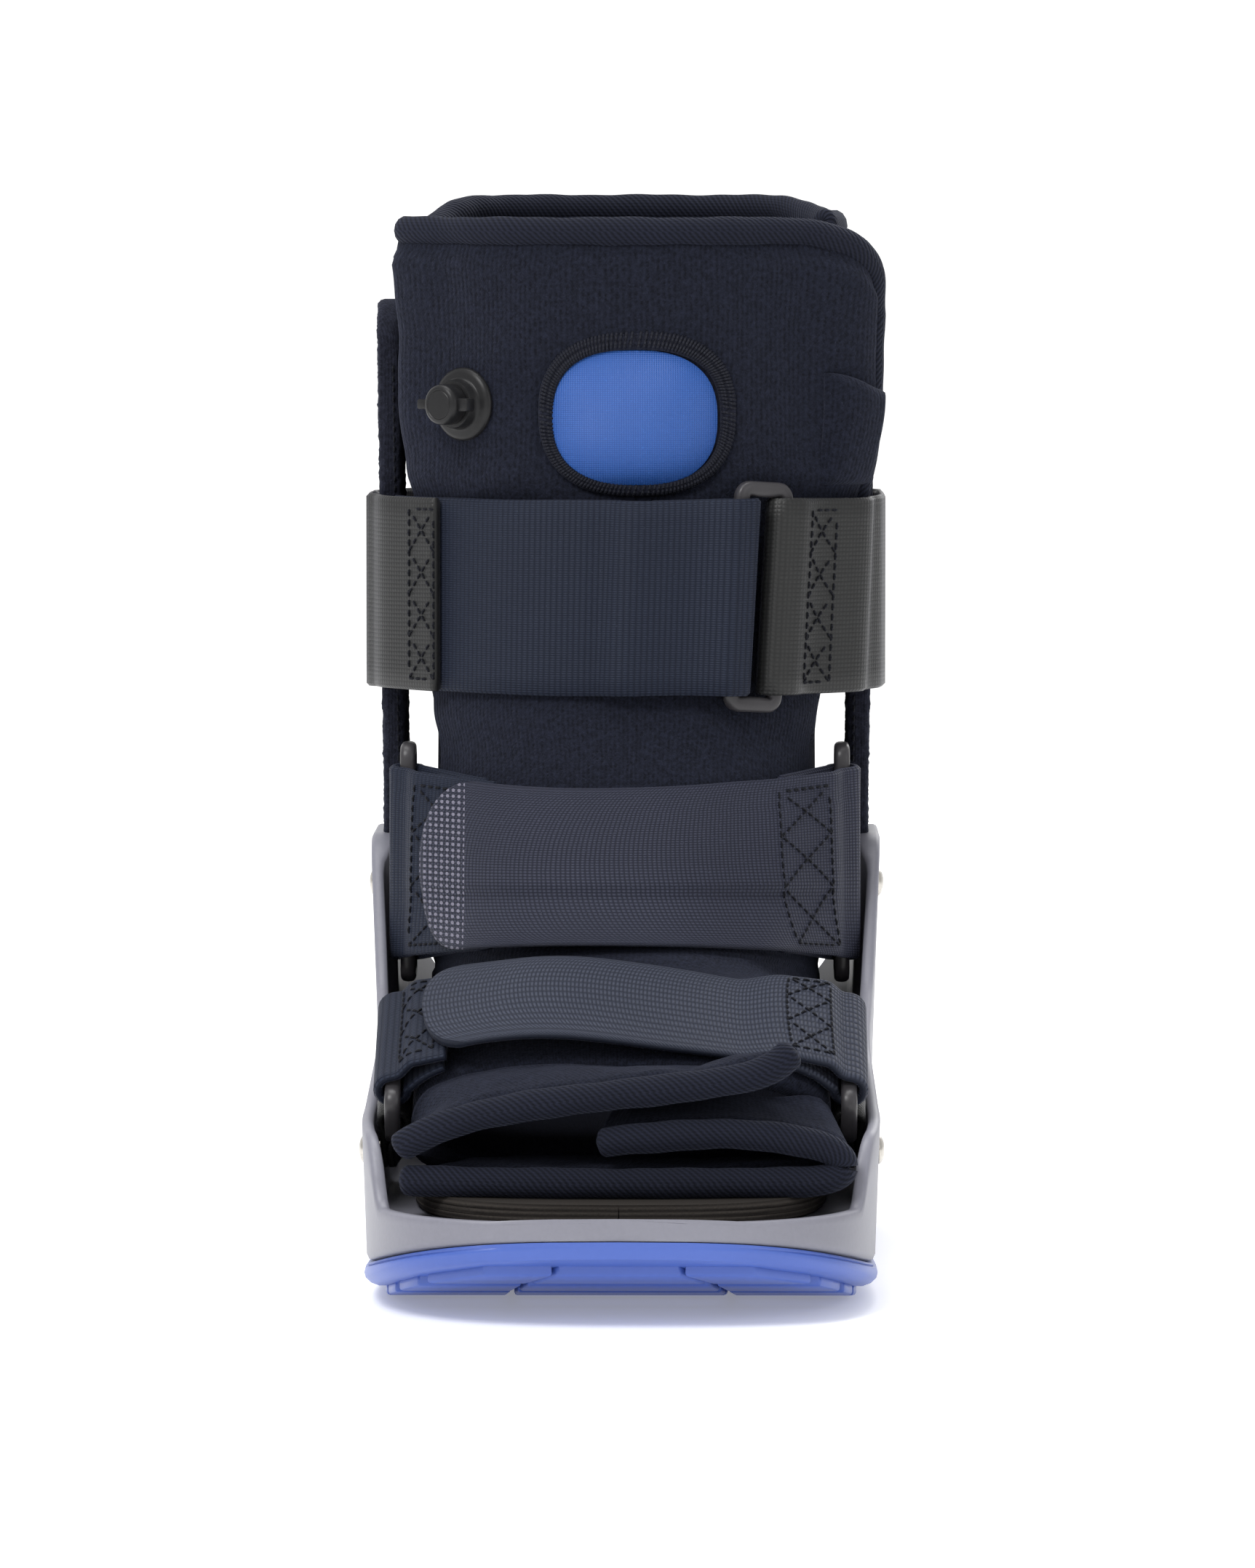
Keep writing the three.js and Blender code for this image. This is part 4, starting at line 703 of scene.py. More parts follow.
def steelMaterial():
    material, tree, principled = newMaterial("rivetSteel", 0.3, Metallic=1.0)
    spot = coords(tree, "Object")
    tone = noiseNode(tree, spot, 400, 4, 0.6)
    tree.links.new(mixColour(tree, tone, (0.36, 0.34, 0.31), (0.62, 0.60, 0.56)), principled.inputs["Base Color"])
    tree.links.new(mathNode(tree, "MULTIPLY_ADD", tone, 0.3, 0.15), principled.inputs["Roughness"])
    bumpNode(tree, principled, [(tone, 0.15, 0.0002)])
    return material


hard["foam"] = foamMaterial()
hard["steel"] = steelMaterial()
print("materials made")


# Liner: one padded sock from the ball of the foot to the collar
def softness(p, amount, scale=0.02):
    return amount * noise.noise(Vector(p) * scale)


def linerGrow(position, turn, p):
    grow = softness(p, 1.1, 0.03) + softness(p, 0.35, 0.12)
    front = smooth(abs(turn), 150, 30)
    ankle = bell(position, 5.2, 0.5) * 1.2 * math.sin(position * 16) * front
    band = -1.0 * bell(p[2], legStrap["height"], legStrap["width"] * 0.42, 4) * smooth(p[1], 20, 60)
    puff = 0.9 * bell(p[2], 225, 22) + 0.8 * bell(p[2], 128, 12)
    return grow + ankle + band + puff * smooth(p[1], 30, 70)


legStrap = {"width": 50, "height": 170.5, "navyEnd": -58, "webEnd": -45, "returnLength": 34, "tilt": 3.8}
liner = {"columns": 120, "step": 0.09, "round": 1.6}


def makeLiner():
    count = int(collarSection / liner["step"]) + 1
    positions = spread(count, 0, collarSection)
    outer, inner = [], []
    for position in positions:
        section = sectionAt(position)
        turns = evenTurns(section, liner["columns"] + 1, -180, 180)[:-1]
        edge = min(position, collarSection - position)
        nearEdge = 1 - smooth(edge, 0, 0.12)
        ringOut, ringIn = [], []
        for turn in turns:
            base = inSpace(section, outlinePoint(section, turn, 0))
            grow = min(0.25, linerGrow(position, turn, base)) - liner["round"] * nearEdge
            covered = -64 < turn < 64 and position > 5.6
            for ring, reach in ((ringOut, min(grow, -0.1) if covered else grow),
                                (ringIn, -linerWall + 0.5 * grow + 1.2 * nearEdge)):
                spot = flared(inSpace(section, outlinePoint(section, turn, reach)))
                spot.z -= rimDrop(spot)
                ring.append(spot)
        outer.append(ringOut)
        inner.append(ringIn)
    piece = tubePiece("liner", outer, inner, cloth["liner"])
    place(piece, ["liner_foot", "liner_leg"])


makeLiner()
print("liner made")

# Front flap
flap = {"left": -60, "right": 60, "start": 6.0, "lift": 6, "thickness": 6, "rows": 90, "columns": 100}


def flapLiftAt(turn, position):
    return flap["lift"] * smooth(turn, 25, flap["right"]) * smooth(position, collarSection - 4, collarSection - 2)


def flapInner(turn, position):
    return clothGap + flapLiftAt(turn, position)


def flapOuter(turn, position):
    return flapInner(turn, position) + flap["thickness"] * smooth(position, flap["start"] - 0.7, flap["start"] + 0.9)


def flapTopAt(turn):
    corner = clamp((turn - 36) / 24.5, 0, 1)
    return collarSection - 0.16 - 0.72 * (1 - math.sqrt(1 - corner ** 2.2))


def onFlap(x, z, lift):
    def spot(position, turn):
        return linerPoint(position, turn, flapOuter(turn, position) + lift)

    position, turn = positionAtHeight(z), 0
    for _ in range(8):
        turn = bisected(-88, 88, 24, lambda middle: spot(position, middle).x < x)
        position += (z - spot(position, turn).z) / 40
    return spot(position, turn)


window = {"across": 2.3, "height": 216, "wide": 43, "tall": 35, "dome": 5.5}
panel = {"left": 44, "right": 58, "low": 198.5, "high": 227.5}


def flapRelief(p):
    relief = softness(p, 0.8, 0.035) + softness(p, 0.3, 0.11)
    dx, dz = (p[0] - window["across"]) / (window["wide"] / 2), (p[2] - window["height"]) / (window["tall"] / 2)
    reach = (abs(dx) ** 2.5 + abs(dz) ** 2.5) ** 0.4
    relief -= 1.3 * bell(reach, 1.02, 0.16)
    relief += 0.9 * bell(reach, 1.65, 0.35)
    band = bell(p[2], legStrap["height"], legStrap["width"] * 0.5, 6)
    puff = bell(p[2], 201, 4) + bell(p[2], 139, 5)
    return relief - 0.5 * band + 0.8 * puff * (0 if reach < 1.3 else 1)


def makeFlap():
    outer, inner = [], []
    for share in spread(flap["rows"], 0, 1):
        rowOut, rowIn = [], []
        for turn in evenTurns(sectionAt(9), flap["columns"], flap["left"], flap["right"]):
            position = mix(flap["start"], flapTopAt(turn), share)
            high, low = flapOuter(turn, position), flapInner(turn, position)
            base = linerPoint(position, turn, high)
            edge = min(turn - flap["left"], flap["right"] - turn)
            rounding = max(1 - smooth(edge, 0, 4), 1 - smooth(1 - share, 0, 0.035))
            middle = (high + low) / 2
            relief = flapRelief(base) * (1 - rounding)
            rowOut.append(flared(linerPoint(position, turn, mix(high + relief, middle + 1.0, rounding))))
            rowIn.append(flared(linerPoint(position, turn, mix(low, middle - 1.0, rounding))))
        outer.append(rowOut)
        inner.append(rowIn)
    piece = slabPiece("frontFlap", outer, inner, cloth["liner"])
    place(piece, ["front_flap"])


makeFlap()


def makePanel():
    low = positionAtHeight(panel["low"])
    high = positionAtHeight(panel["high"])
    outer, inner = [], []
    for share in spread(28, 0, 1):
        rowOut, rowIn = [], []
        for across in spread(26, 0, 1):
            turn = mix(panel["left"], panel["right"], across)
            position = mix(low, high - 0.12 * smooth(turn, panel["left"], panel["right"]), share)
            edge = min(share, 1 - share, across * 0.8, (1 - across) * 0.8)
            rise = 2.5 * math.sqrt(1 - (1 - clamp(edge / 0.16, 0, 1)) ** 2)
            base = flapOuter(turn, position)
            rowOut.append(flared(linerPoint(position, turn, base + 0.4 + rise)))
            rowIn.append(flared(linerPoint(position, turn, base - 0.2)))
        outer.append(rowOut)
        inner.append(rowIn)
    piece = slabPiece("sidePanel", outer, inner, cloth["liner"])
    place(piece, ["side_panel"])


makePanel()
print("flap made")

# Bindings
binding = {"radius": 3.4, "tall": 4.2, "wide": 3.5}
edgeRoll = {"wide": 3.3, "tall": 3.9}


def flapMiddle(turn, position):
    return (flapInner(turn, position) + flapOuter(turn, position)) / 2


def pinch(length, angle):
    return -0.04 + 0.03 * math.sin(length * 0.21) + 0.02 * math.sin(length * 0.53 + angle)


def makeBindings():
    # one binding follows the flap's rim, rounds its corner and runs down its edge
    run = []
    for turn in spread(34, flap["left"] + 1, flap["right"]):
        run.append(flared(linerPoint(flapTopAt(turn), turn, flapMiddle(turn, flapTopAt(turn)))))
    for position in spread(26, flapTopAt(flap["right"]) - 0.06, 7.15):
        run.append(flared(linerPoint(position, flap["right"], flapMiddle(flap["right"], position))))
    run = catmull(run, 420)
    lifts = []
    for point, (tangent, _, _) in zip(run, frames(run)):
        face = Vector((point.x / linerHalf ** 2, (point.y - 66) / 62 ** 2, 0)).normalized()
        lifts.append(face.cross(tangent).normalized())
    lifts = [lift if lift.z > -0.2 and (lift.z > 0.2 or lift.x > 0) else -lift for lift in lifts]
    run = [point + lift * (binding["radius"] - 0.9) for point, lift in zip(run, lifts)]
    roll = rollPiece("flapBinding", run, edgeRoll["wide"], edgeRoll["tall"], cloth["binding"], relief=pinch,
                     lifts=lifts)
    place(roll, ["collar_binding_front", "flap_edge_binding"])
    run = []
    for turn in spread(61, flap["right"] + 6, 360 + flap["left"] - 6):
        point = flared(linerPoint(collarSection, turn, -linerWall / 2))
        point.z += binding["radius"] - 1.4 - rimDrop(point)
        run.append(point)
    rollBack = rollPiece("collarBindingBack", catmull(run, 420), binding["wide"], binding["tall"],
                         cloth["binding"], relief=pinch)
    place(rollBack, ["collar_binding_back"])


makeBindings()
print("bindings made")


# Air window with its overlocked ring
def onWindow(angle, wide, tall, shiftX, shiftZ, lift):
    # on the window's rounded outline, its width and height taken by a share
    return onFlap(window["across"] + shiftX + wide * window["wide"] / 2 * power(math.cos(angle), 0.8),
                  window["height"] + shiftZ + tall * window["tall"] / 2 * power(math.sin(angle), 0.8), lift)


def makeWindow():
    sides, rows = 96, 26
    vertices = []
    for reach in (math.sin(k / (rows - 1) * math.pi / 2) for k in range(rows)):
        for j in range(sides):
            angle = 2 * math.pi * j / sides
            slump = 0.10 * math.sin(angle)
            lift = window["dome"] * (1 - reach ** 2.6) * (1 - slump * reach)
            vertices.append(onWindow(angle, reach, reach, 0, 0, lift - 0.4))

    def uvOf(n):
        return (vertices[n].x * mm, vertices[n].z * mm)

    faces, uvs = skin(rows, sides, lambda i, j: uvOf(i * sides + j % sides))
    for lift, row in ((window["dome"] - 0.4, 0), (-0.9, rows - 1)):
        centre = len(vertices)
        vertices.append(onFlap(window["across"], window["height"], lift))
        for j in range(sides):
            faces.append((row * sides + j, row * sides + (j + 1) % sides, centre))
            uvs.append(tuple(uvOf(n) for n in faces[-1]))
    piece = toObject("airWindow", vertices, faces, uvs, cloth["window"])
    bm = openMesh(piece)
    bmesh.ops.remove_doubles(bm, verts=bm.verts, dist=1e-6)
    closeMesh(bm, piece.data)
    place(piece, ["air_window"])


makeWindow()

# Threads: short rounded stitches laid on a surface
stitchStore = {}


def addStitch(store, a, b, normal, radius):
    stitchStore.setdefault(store, []).append((Vector(a), Vector(b), Vector(normal).normalized(), radius))


def makeStitches(name, store, material):
    vertices, faces, uvs = [], [], []
    sides = 6
    stations = ((0.0, 0.25, -0.5), (0.12, 0.85, 0.25), (0.5, 1.0, 0.75), (0.88, 0.85, 0.25), (1.0, 0.25, -0.5))
    last = (len(stations) - 1) * sides
    for a, b, normal, radius in stitchStore[store]:
        along = b - a
        if along.length < 0.05:
            continue
        side = along.normalized().cross(normal).normalized()
        first = len(vertices)
        for share, wide, lift in stations:
            vertices += ringOf(a.lerp(b, share) + normal * radius * lift, side, normal, radius * wide, radius * wide,
                               sides)
        stitchFaces, stitchUvs = skin(len(stations), sides, lambda i, j: (i * 0.0003, j * 0.0003), first=first)
        faces += stitchFaces + [tuple(first + k for k in range(sides)),
                                tuple(first + last + k for k in reversed(range(sides)))]
        uvs += stitchUvs + [((0, 0),) * sides] * 2
    return toObject(name, vertices, faces, uvs, material)


def stitchRun(store, run, normals, pitch, length, radius):
    # stitches along a run of points, each length long, one each pitch
    lengths = arcLengths(run)

    def at(distance):
        for i in range(len(run) - 1):
            if lengths[i + 1] >= distance:
                share = (distance - lengths[i]) / max(1e-6, lengths[i + 1] - lengths[i])
                return run[i].lerp(run[i + 1], share), normals[i].lerp(normals[i + 1], share)
        return run[-1], normals[-1]

    count = int(lengths[-1] / pitch)
    for k in range(count):
        a, normal = at(k * pitch)
        b, _ = at(k * pitch + length)
        addStitch(store, a, b, normal, radius)


def windowRing():
    # zigzag of thread over a padded ring round the window
    count, sides = 150, 10
    run = [onWindow(2 * math.pi * k / count, 1.08, 1.10, 1.0, 0.9, -0.7) for k in range(count)]
    vertices = []
    for i, point in enumerate(run):
        tangent = (run[(i + 1) % count] - run[i - 1]).normalized()
        half = sectionAt(positionAtHeight(point.z))["half"]
        normal = Vector((0.35 * point.x / half, -1, 0)).normalized()
        side = tangent.cross(normal).normalized()
        wide = 2.1 + 0.5 * math.sin(2 * math.pi * i / count)
        vertices += ringOf(point, side, normal, wide, 1.5, sides)
        low = point + side * wide * 0.95 + normal * 0.9
        high = point - side * wide * 0.95 + tangent * 0.9 + normal * 0.9
        crest = point + normal * 1.65 + tangent * 0.45
        addStitch("window", low, crest, normal, 0.32)
        addStitch("window", crest, high, normal, 0.32)
    faces, uvs = skin(count, sides, lambda i, k: (i * mm, k * 0.0006), closed=True)
    place(toObject("windowRing", vertices, faces, uvs, cloth["loop"]), [])
    place(makeStitches("windowThread", "window", cloth["overlock"]), [])


windowRing()
print("window made")

# Valve
valve = {"pos": Vector((-41.0, 8.078, 219.5)), "axis": Vector((-0.627569, -0.778561, 0))}


def makeValve():
    flange = lathePiece("valveFlange", [
        (0.01, 0), (9.2, 0), (9.4, 0.4), (9.4, 1.0), (8.9, 1.6), (8.0, 2.0), (7.0, 2.1), (6.6, 2.3), (6.3, 2.9),
        (6.2, 4.6), (6.0, 5.1), (5.4, 5.2), (0.01, 5.2)], valve["pos"], valve["axis"], hard["valve"], 72)
    place(flange, ["valve_flange"])
    cap = lathePiece("valveCap", [
        (0.01, 5.3), (5.0, 5.3), (5.2, 5.6), (5.2, 9.2), (5.0, 9.9), (4.4, 10.4), (3.9, 10.5), (3.7, 10.35),
        (3.5, 10.5), (0.01, 10.55)], valve["pos"], valve["axis"], hard["valve"], 64)
    bm = openMesh(cap)
    across = Vector((-0.7786, 0.6276, 0))
    up = Vector((0, 0, 1))
    for centre, size in (((6.6, 7.4), (4.4, 2.8, 2.6)), ((-6.2, 7.0), (3.4, 3.6, 3.4))):
        made = bmesh.ops.create_cube(bm, size=1)["verts"]
        middle = (valve["pos"] + across * centre[0] + valve["axis"] * centre[1]) * mm
        basis = Matrix((across, valve["axis"], up)).transposed().to_4x4()
        matrix = Matrix.Translation(middle) @ basis @ Matrix.Diagonal((*[s * mm for s in size], 1))
        bmesh.ops.transform(bm, matrix=matrix, verts=made)
        edges = list({e for v in made for e in v.link_edges})
        bmesh.ops.bevel(bm, geom=edges, offset=0.0005, segments=2, profile=0.5, affect="EDGES", material=-1)
    closeMesh(bm, cap.data, 35)
    place(cap, ["valve_cap"], body="valve_cap")


makeValve()
print("valve made")


# Taut line round a set of points in a plane, from the front middle towards the right
def pushOut(p, turn, distance):
    return (p[0] + math.sin(turn * degree) * distance, p[1] + math.cos(turn * degree) * distance)


def disc(centre, radius):
    return [pushOut(centre, t, radius) for t in spread(37, 0, 360)]


class Track:
    def __init__(self, points):
        self.points = points
        self.turns = spread(361, -180, 180)
        self.samples = [pushOut(self.edge(t), t, 3) for t in self.turns]
        self.lengths = [0]
        for i in range(1, len(self.samples)):
            self.lengths.append(self.lengths[-1] + math.dist(self.samples[i - 1], self.samples[i]))
        self.length = self.lengths[-1]
        self.middle = self.lengths[180]

    def edge(self, turn):
        nx, ny = math.sin(turn * degree), math.cos(turn * degree)
        return max(self.points, key=lambda p: p[0] * nx + p[1] * ny)

    def at(self, distance, offset):
        wanted = (distance + self.middle) % self.length
        low, high = 0, len(self.lengths) - 1
        while high - low > 1:
            half = (low + high) // 2
            if self.lengths[half] <= wanted:
                low = half
            else:
                high = half
        step = self.lengths[low + 1] - self.lengths[low]
        share = (wanted - self.lengths[low]) / step if step > 0 else 0
        turn = mix(self.turns[low], self.turns[low + 1], share)
        spot = (mix(self.samples[low][0], self.samples[low + 1][0], share),
                mix(self.samples[low][1], self.samples[low + 1][1], share))
        return pushOut(spot, turn, offset - 3), turn

    def distanceAt(self, across):
        return bisected(-self.length / 4, self.length / 4, 30, lambda half: self.at(half, 0)[0][0] < across)

    def distanceAtTurn(self, turn):
        return self.lengths[int(round(turn + 180))] - self.middle


def coveredOutline(position):
    section = sectionAt(position)
    points = []
    for turn in spread(101, -150, 150):
        covered = flap["left"] - 2 < turn < flap["right"] + 2 and position > flap["start"] - 0.3
        points.append(outlinePoint(section, turn, flapOuter(turn, position) if covered else 0))
    return points


single = layerGap + strapThickness / 2
double = single + strapThickness + layerGap
triple = double + strapThickness + layerGap
foldRadius = ringBar / 2 + single


def barInSection(section, across, barY, barZ, runY, runZ):
    cross = section["dirY"] * runZ - section["dirZ"] * runY
    return (across, ((barY - section["y"]) * runZ - (barZ - section["z"]) * runY) / cross)


slant = (math.cos(28 * degree), math.sin(28 * degree))
rings = {
    "ankle": {"across": 56, "y": 13, "z": 101, "run": (0, 1), "long": 62, "wide": 15},
    "foot": {"across": 56.3, "y": -70.3, "z": 60.8, "run": slant, "long": 50, "wide": 15},
}


def barAt(section, side, ring):
    return barInSection(section, side * ring["across"], ring["y"], ring["z"], *ring["run"])


def strapPath(strap, position, share):
    section = sectionAt(position)
    cover = coveredOutline(position)
    ring = rings[strap["ring"]]
    side = strap["side"]
    bars = [barAt(section, s, ring) for s in (-1, 1)]
    outerEdge = Track(cover + disc(bars[0], ringBar / 2) + disc(bars[1], ringBar / 2))
    bar = bars[0] if side < 0 else bars[1]
    inside = pushOut(bar, -90 * side, foldRadius)
    coverTrack = Track(cover)
    grown = [pushOut(coverTrack.edge(t), t, single) for t in spread(121, -150, 150)]
    innerEdge = Track(grown + [inside])
    bow = 1 - math.sqrt(max(0, 1 - (2 * share - 1) ** 2))
    end = outerEdge.distanceAt(strap["end"] + side * strap["round"] * bow)
    touch = side * next(t for t in range(0, 91) if math.dist(outerEdge.edge(side * t), bar) < ringBar / 2 + 0.01)
    path = []
    for distance in spread(strap["steps"], end, outerEdge.distanceAtTurn(touch) - 1.5 * side):
        p, turn = outerEdge.at(distance, 0)
        path.append(pushOut(p, turn, strap["layer"](p[0])))
    for turn in spread(15, touch + 4 * side, side * 270):
        path.append(pushOut(bar, turn, foldRadius))
    leave = next((side * t for t in range(0, 91) if math.dist(innerEdge.edge(side * t), inside) < 0.01), None)
    if leave is None:
        leave = side * next(t for t in range(90, -1, -1) if innerEdge.edge(side * t)[1] >= bar[1] + 1)
    start = innerEdge.distanceAtTurn(leave)
    stop = innerEdge.distanceAt(strap["inner"])
    for distance in spread(14, start, stop)[1:]:
        path.append(innerEdge.at(distance, 0)[0])
    return section, path


def nearRing(across):
    return smooth(abs(across), 50, 55)


def tabLayer(across):
    return mix(double, single, nearRing(across))


def overLayer(tabEnd, foldEnd):
    def layer(across):
        onTab = 1 - smooth(across, tabEnd + 2, tabEnd + 58)
        onFold = smooth(across, foldEnd - 14, foldEnd - 2) * (1 - nearRing(across))
        return single + (triple - single) * onTab + (double - single) * onFold
    return layer


straps = {
    "ankleStrapTab": {"side": -1, "from": 5.05, "to": 6.95, "ring": "ankle", "end": -30, "round": 0, "inner": -35,
                      "layer": tabLayer, "steps": 22, "node": "ankle_strap_tab", "cloth": "navy", "width": 50},
    "ankleStrapOver": {"side": 1, "from": 5.05, "to": 6.95, "ring": "ankle", "end": -46, "round": 13, "inner": 40,
                       "layer": overLayer(-30, 40), "steps": 70, "node": "ankle_strap_over", "cloth": "ankle",
                       "width": 50},
    "footStrapTab": {"side": -1, "from": 0.04, "to": 0.96, "ring": "foot", "end": -42, "round": 0, "inner": -44,
                     "layer": tabLayer, "steps": 22, "node": "foot_strap_tab", "cloth": "navy", "width": 40},
    "footStrapOver": {"side": 1, "from": 0.04, "to": 0.96, "ring": "foot", "end": -48, "round": 13, "inner": 42,
                      "layer": overLayer(-28, 42), "steps": 70, "node": "foot_strap_over", "cloth": "foot",
                      "width": 40},
}
strapGrids = {}


def smoothPath(path, count):
    return [(p.x, p.y) for p in catmull([Vector((*p, 0)) for p in path], count)]


def thickened(path, thickness):
    result = []
    for sign in (1, -1):
        side = []
        for i, p in enumerate(path):
            before, after = path[max(0, i - 1)], path[min(len(path) - 1, i + 1)]
            length = math.hypot(after[0] - before[0], after[1] - before[1])
            reach = sign * thickness / 2 / max(length, 1e-6)
            side.append((p[0] - (after[1] - before[1]) * reach, p[1] + (after[0] - before[0]) * reach))
        result.append(side)
    return result


def edgeShares(count, edge=0.012):
    inner = spread(count, edge * 1.5, 1 - edge * 1.5)
    return [0, edge * 0.4] + inner + [1 - edge * 0.4, 1]


def edgeFactor(share):
    near = min(share, 1 - share)
    return 0.35 + 0.65 * smooth(near, 0, 0.016)


def bandPiece(name, material, shares, width, thickness, rowAt, held):
    # closed band of cloth; at a share of its width rowAt gives the path, its ripple and its place in space
    outer, inner, runs = [], [], []
    stretched = held == "stretched"
    for share in shares:
        path, ripple, toSpace = rowAt(share)
        for rows, edge in zip((outer, inner), thickened(path, thickness * edgeFactor(share))):
            rows.append([toSpace(p, rise) for p, rise in zip(edge, ripple)])
        runs.append(arcLengths([toSpace(p, 0) if stretched else Vector((*p, 0)) for p in path]))
    along = runs[len(runs) // 2]
    piece = slabPiece(name, outer, inner, cloth[material], along if stretched else None,
                      [share * width for share in shares] if stretched else None)
    strapGrids[name] = {"outer": outer, "inner": inner, "shares": shares, "along": along, "width": width}
    return piece


def makeStrap(name, strap):
    def rowAt(share):
        section, path = strapPath(strap, mix(strap["from"], strap["to"], share), share)
        forward = Vector((0, section["dirY"], section["dirZ"]))
        ripple = [0.14 * noise.noise(Vector((p[0] * 0.05, share * 2.2, 3 + len(name)))) for p in path]
        return path, ripple, lambda p, rise: inSpace(section, p) + forward * rise

    piece = bandPiece(name, strap["cloth"], edgeShares(26), strap["width"], strapThickness, rowAt, "stretched")
    place(piece, [strap["node"]])


for strapName, strapFacts in straps.items():
    makeStrap(strapName, strapFacts)
print("straps made")

# Leg strap in two halves through a buckle
buckle = {"wide": 17, "tall": 59, "bar": 4, "thick": 3.4, "across": 31.5}
upright = {"width": 34, "thick": 6.3, "height": 165, "foot": 81, "forward": 55, "spread": 63.4, "lean": 0.0125}


def legTrack():
    low = legStrap["height"] - legStrap["width"] / 2
    points = []
    for z in spread(6, low, low + legStrap["width"]):
        position = positionAtHeight(z)
        section = sectionAt(position)
        spots = [inSpace(section, p) for p in coveredOutline(position)]
        spots += [linerPoint(position, t, 0) for t in (150, 160, 170, 180, 190, 200, 210)]
        a = outlinePoint(section, flap["right"] - 6, flapMiddle(flap["right"], position))
        b = outlinePoint(section, flap["right"], flapMiddle(flap["right"], position))
        reach = (binding["radius"] + layerGap + 0.3) / math.dist(a, b)
        edge = (b[0] + (b[0] - a[0]) * reach, b[1] + (b[1] - a[1]) * reach)
        spots += [inSpace(section, p) for p in disc(edge, binding["radius"])]
        points += [(p.x, -p.y) for p in spots]
    face = upright["spread"] + upright["lean"] * (low + legStrap["width"] - sole["armHeight"]) + 0.3
    for x in (-face, face):
        for y in (upright["forward"] - upright["width"] / 2, upright["forward"] + upright["width"] / 2):
            points.append((x, -y))
    return Track(points)


track = legTrack()
buckleAt = track.distanceAt(buckle["across"])
buckleLevel = single + strapThickness / 2 + clothGap + buckle["thick"] / 2
frontLevel = buckleLevel + buckle["thick"] / 2 + clothGap + strapThickness / 2
buckleFold = (frontLevel - single) / 2
foldPlace = buckle["wide"] / 2 - buckle["bar"] + 1.4


def buckleRun(side, shift):
    centre = buckleAt + shift
    middle, middleTurn = track.at(centre, 0)

    def placeAt(reach, offset):
        bent, _ = track.at(centre + side * reach, offset)
        flat = pushOut(pushOut(middle, middleTurn, offset), middleTurn + 90, side * reach)
        share = smooth(reach, buckle["wide"] / 2, buckle["wide"])
        return (mix(flat[0], bent[0], share), mix(flat[1], bent[1], share))

    back = legStrap["returnLength"]
    run = [placeAt(back + 6, single), placeAt(back - 1, double), placeAt(buckle["wide"] / 2 + 9, double + 0.2),
           placeAt(buckle["wide"] / 2 + 2, frontLevel - 0.3), placeAt(foldPlace + 1.5, frontLevel)]
    level = (frontLevel + single) / 2
    for turn in spread(11, 0, 180):
        reach = foldPlace - buckleFold * math.sin(turn * degree)
        run.append(placeAt(reach, level + buckleFold * math.cos(turn * degree)))
    run += [placeAt(foldPlace + 6, single), placeAt((back + foldPlace) / 2, single), placeAt(back - 5, single)]
    return run


def makeLegHalf(name, pathAt, material, node):
    def rowAt(share):
        rise = mix(-0.5, 0.5, share) * legStrap["width"]
        path = smoothPath(pathAt(rise * math.tan(legStrap["tilt"] * degree)), 190)
        ripple = [0.5 * noise.noise(Vector((p[0] * 0.03, p[1] * 0.03, share * 1.5))) for p in path]
        return path, ripple, lambda p, lift: Vector((p[0], -p[1], legStrap["height"] + rise + lift))

    piece = bandPiece(name, material, edgeShares(12, 0.010), legStrap["width"], strapThickness, rowAt, "stretched")
    place(piece, [node])


def frontPath(shift):
    start = track.distanceAt(legStrap["navyEnd"])
    stop = buckleAt - legStrap["returnLength"] - 12
    return [track.at(d, single)[0] for d in spread(9, start, stop)] + buckleRun(-1, shift)


def backPath(shift):
    start = track.distanceAt(legStrap["webEnd"])
    navy = track.distanceAt(legStrap["navyEnd"])
    stop = buckleAt + legStrap["returnLength"] + 10 - track.length
    path = [track.at(start, double)[0], track.at(mix(start, navy, 0.5), double)[0], track.at(navy - 1, double)[0]]
    return path + [track.at(d, single)[0] for d in spread(90, navy - 9, stop)] + buckleRun(1, shift)


makeLegHalf("legStrapFront", frontPath, "navy", "leg_strap_front")
makeLegHalf("legStrapBack", backPath, "web", "leg_strap_back")
print("leg strap made")


# Rings and buckle: a rounded bar swept round a rounded rectangle
def loopPiece(name, node, middle, longAxis, wideAxis, long, wide, bar, thick, corner):
    longAxis, wideAxis = Vector(longAxis).normalized(), Vector(wideAxis).normalized()
    normal = wideAxis.cross(longAxis).normalized()
    x, y = wide / 2 - bar / 2, long / 2 - bar / 2
    path = []
    for cx, cy, start in ((x - corner, y - corner, 0), (-x + corner, y - corner, 90), (-x + corner, -y + corner, 180),
                          (x - corner, -y + corner, 270)):
        for t in spread(8, start, start + 90):
            path.append((cx + corner * math.cos(t * degree), cy + corner * math.sin(t * degree)))
    sides, count = 20, len(path)
    vertices = []
    for i, p in enumerate(path):
        before, after = path[i - 1], path[(i + 1) % count]
        tangent = Vector((after[0] - before[0], after[1] - before[1])).normalized()
        out = Vector((tangent.y, -tangent.x))
        for k in range(sides):
            angle = 2 * math.pi * k / sides
            reach = power(math.cos(angle), 0.7) * bar / 2
            rise = power(math.sin(angle), 0.7) * thick / 2
            vertices.append(middle + wideAxis * (p[0] + out.x * reach) + longAxis * (p[1] + out.y * reach)
                            + normal * rise)
    faces, uvs = skin(count, sides, lambda i, j: (i * mm, j * mm), closed=True)
    piece = toObject(name, vertices, faces, uvs, hard["fitting"])
    place(piece, [node])


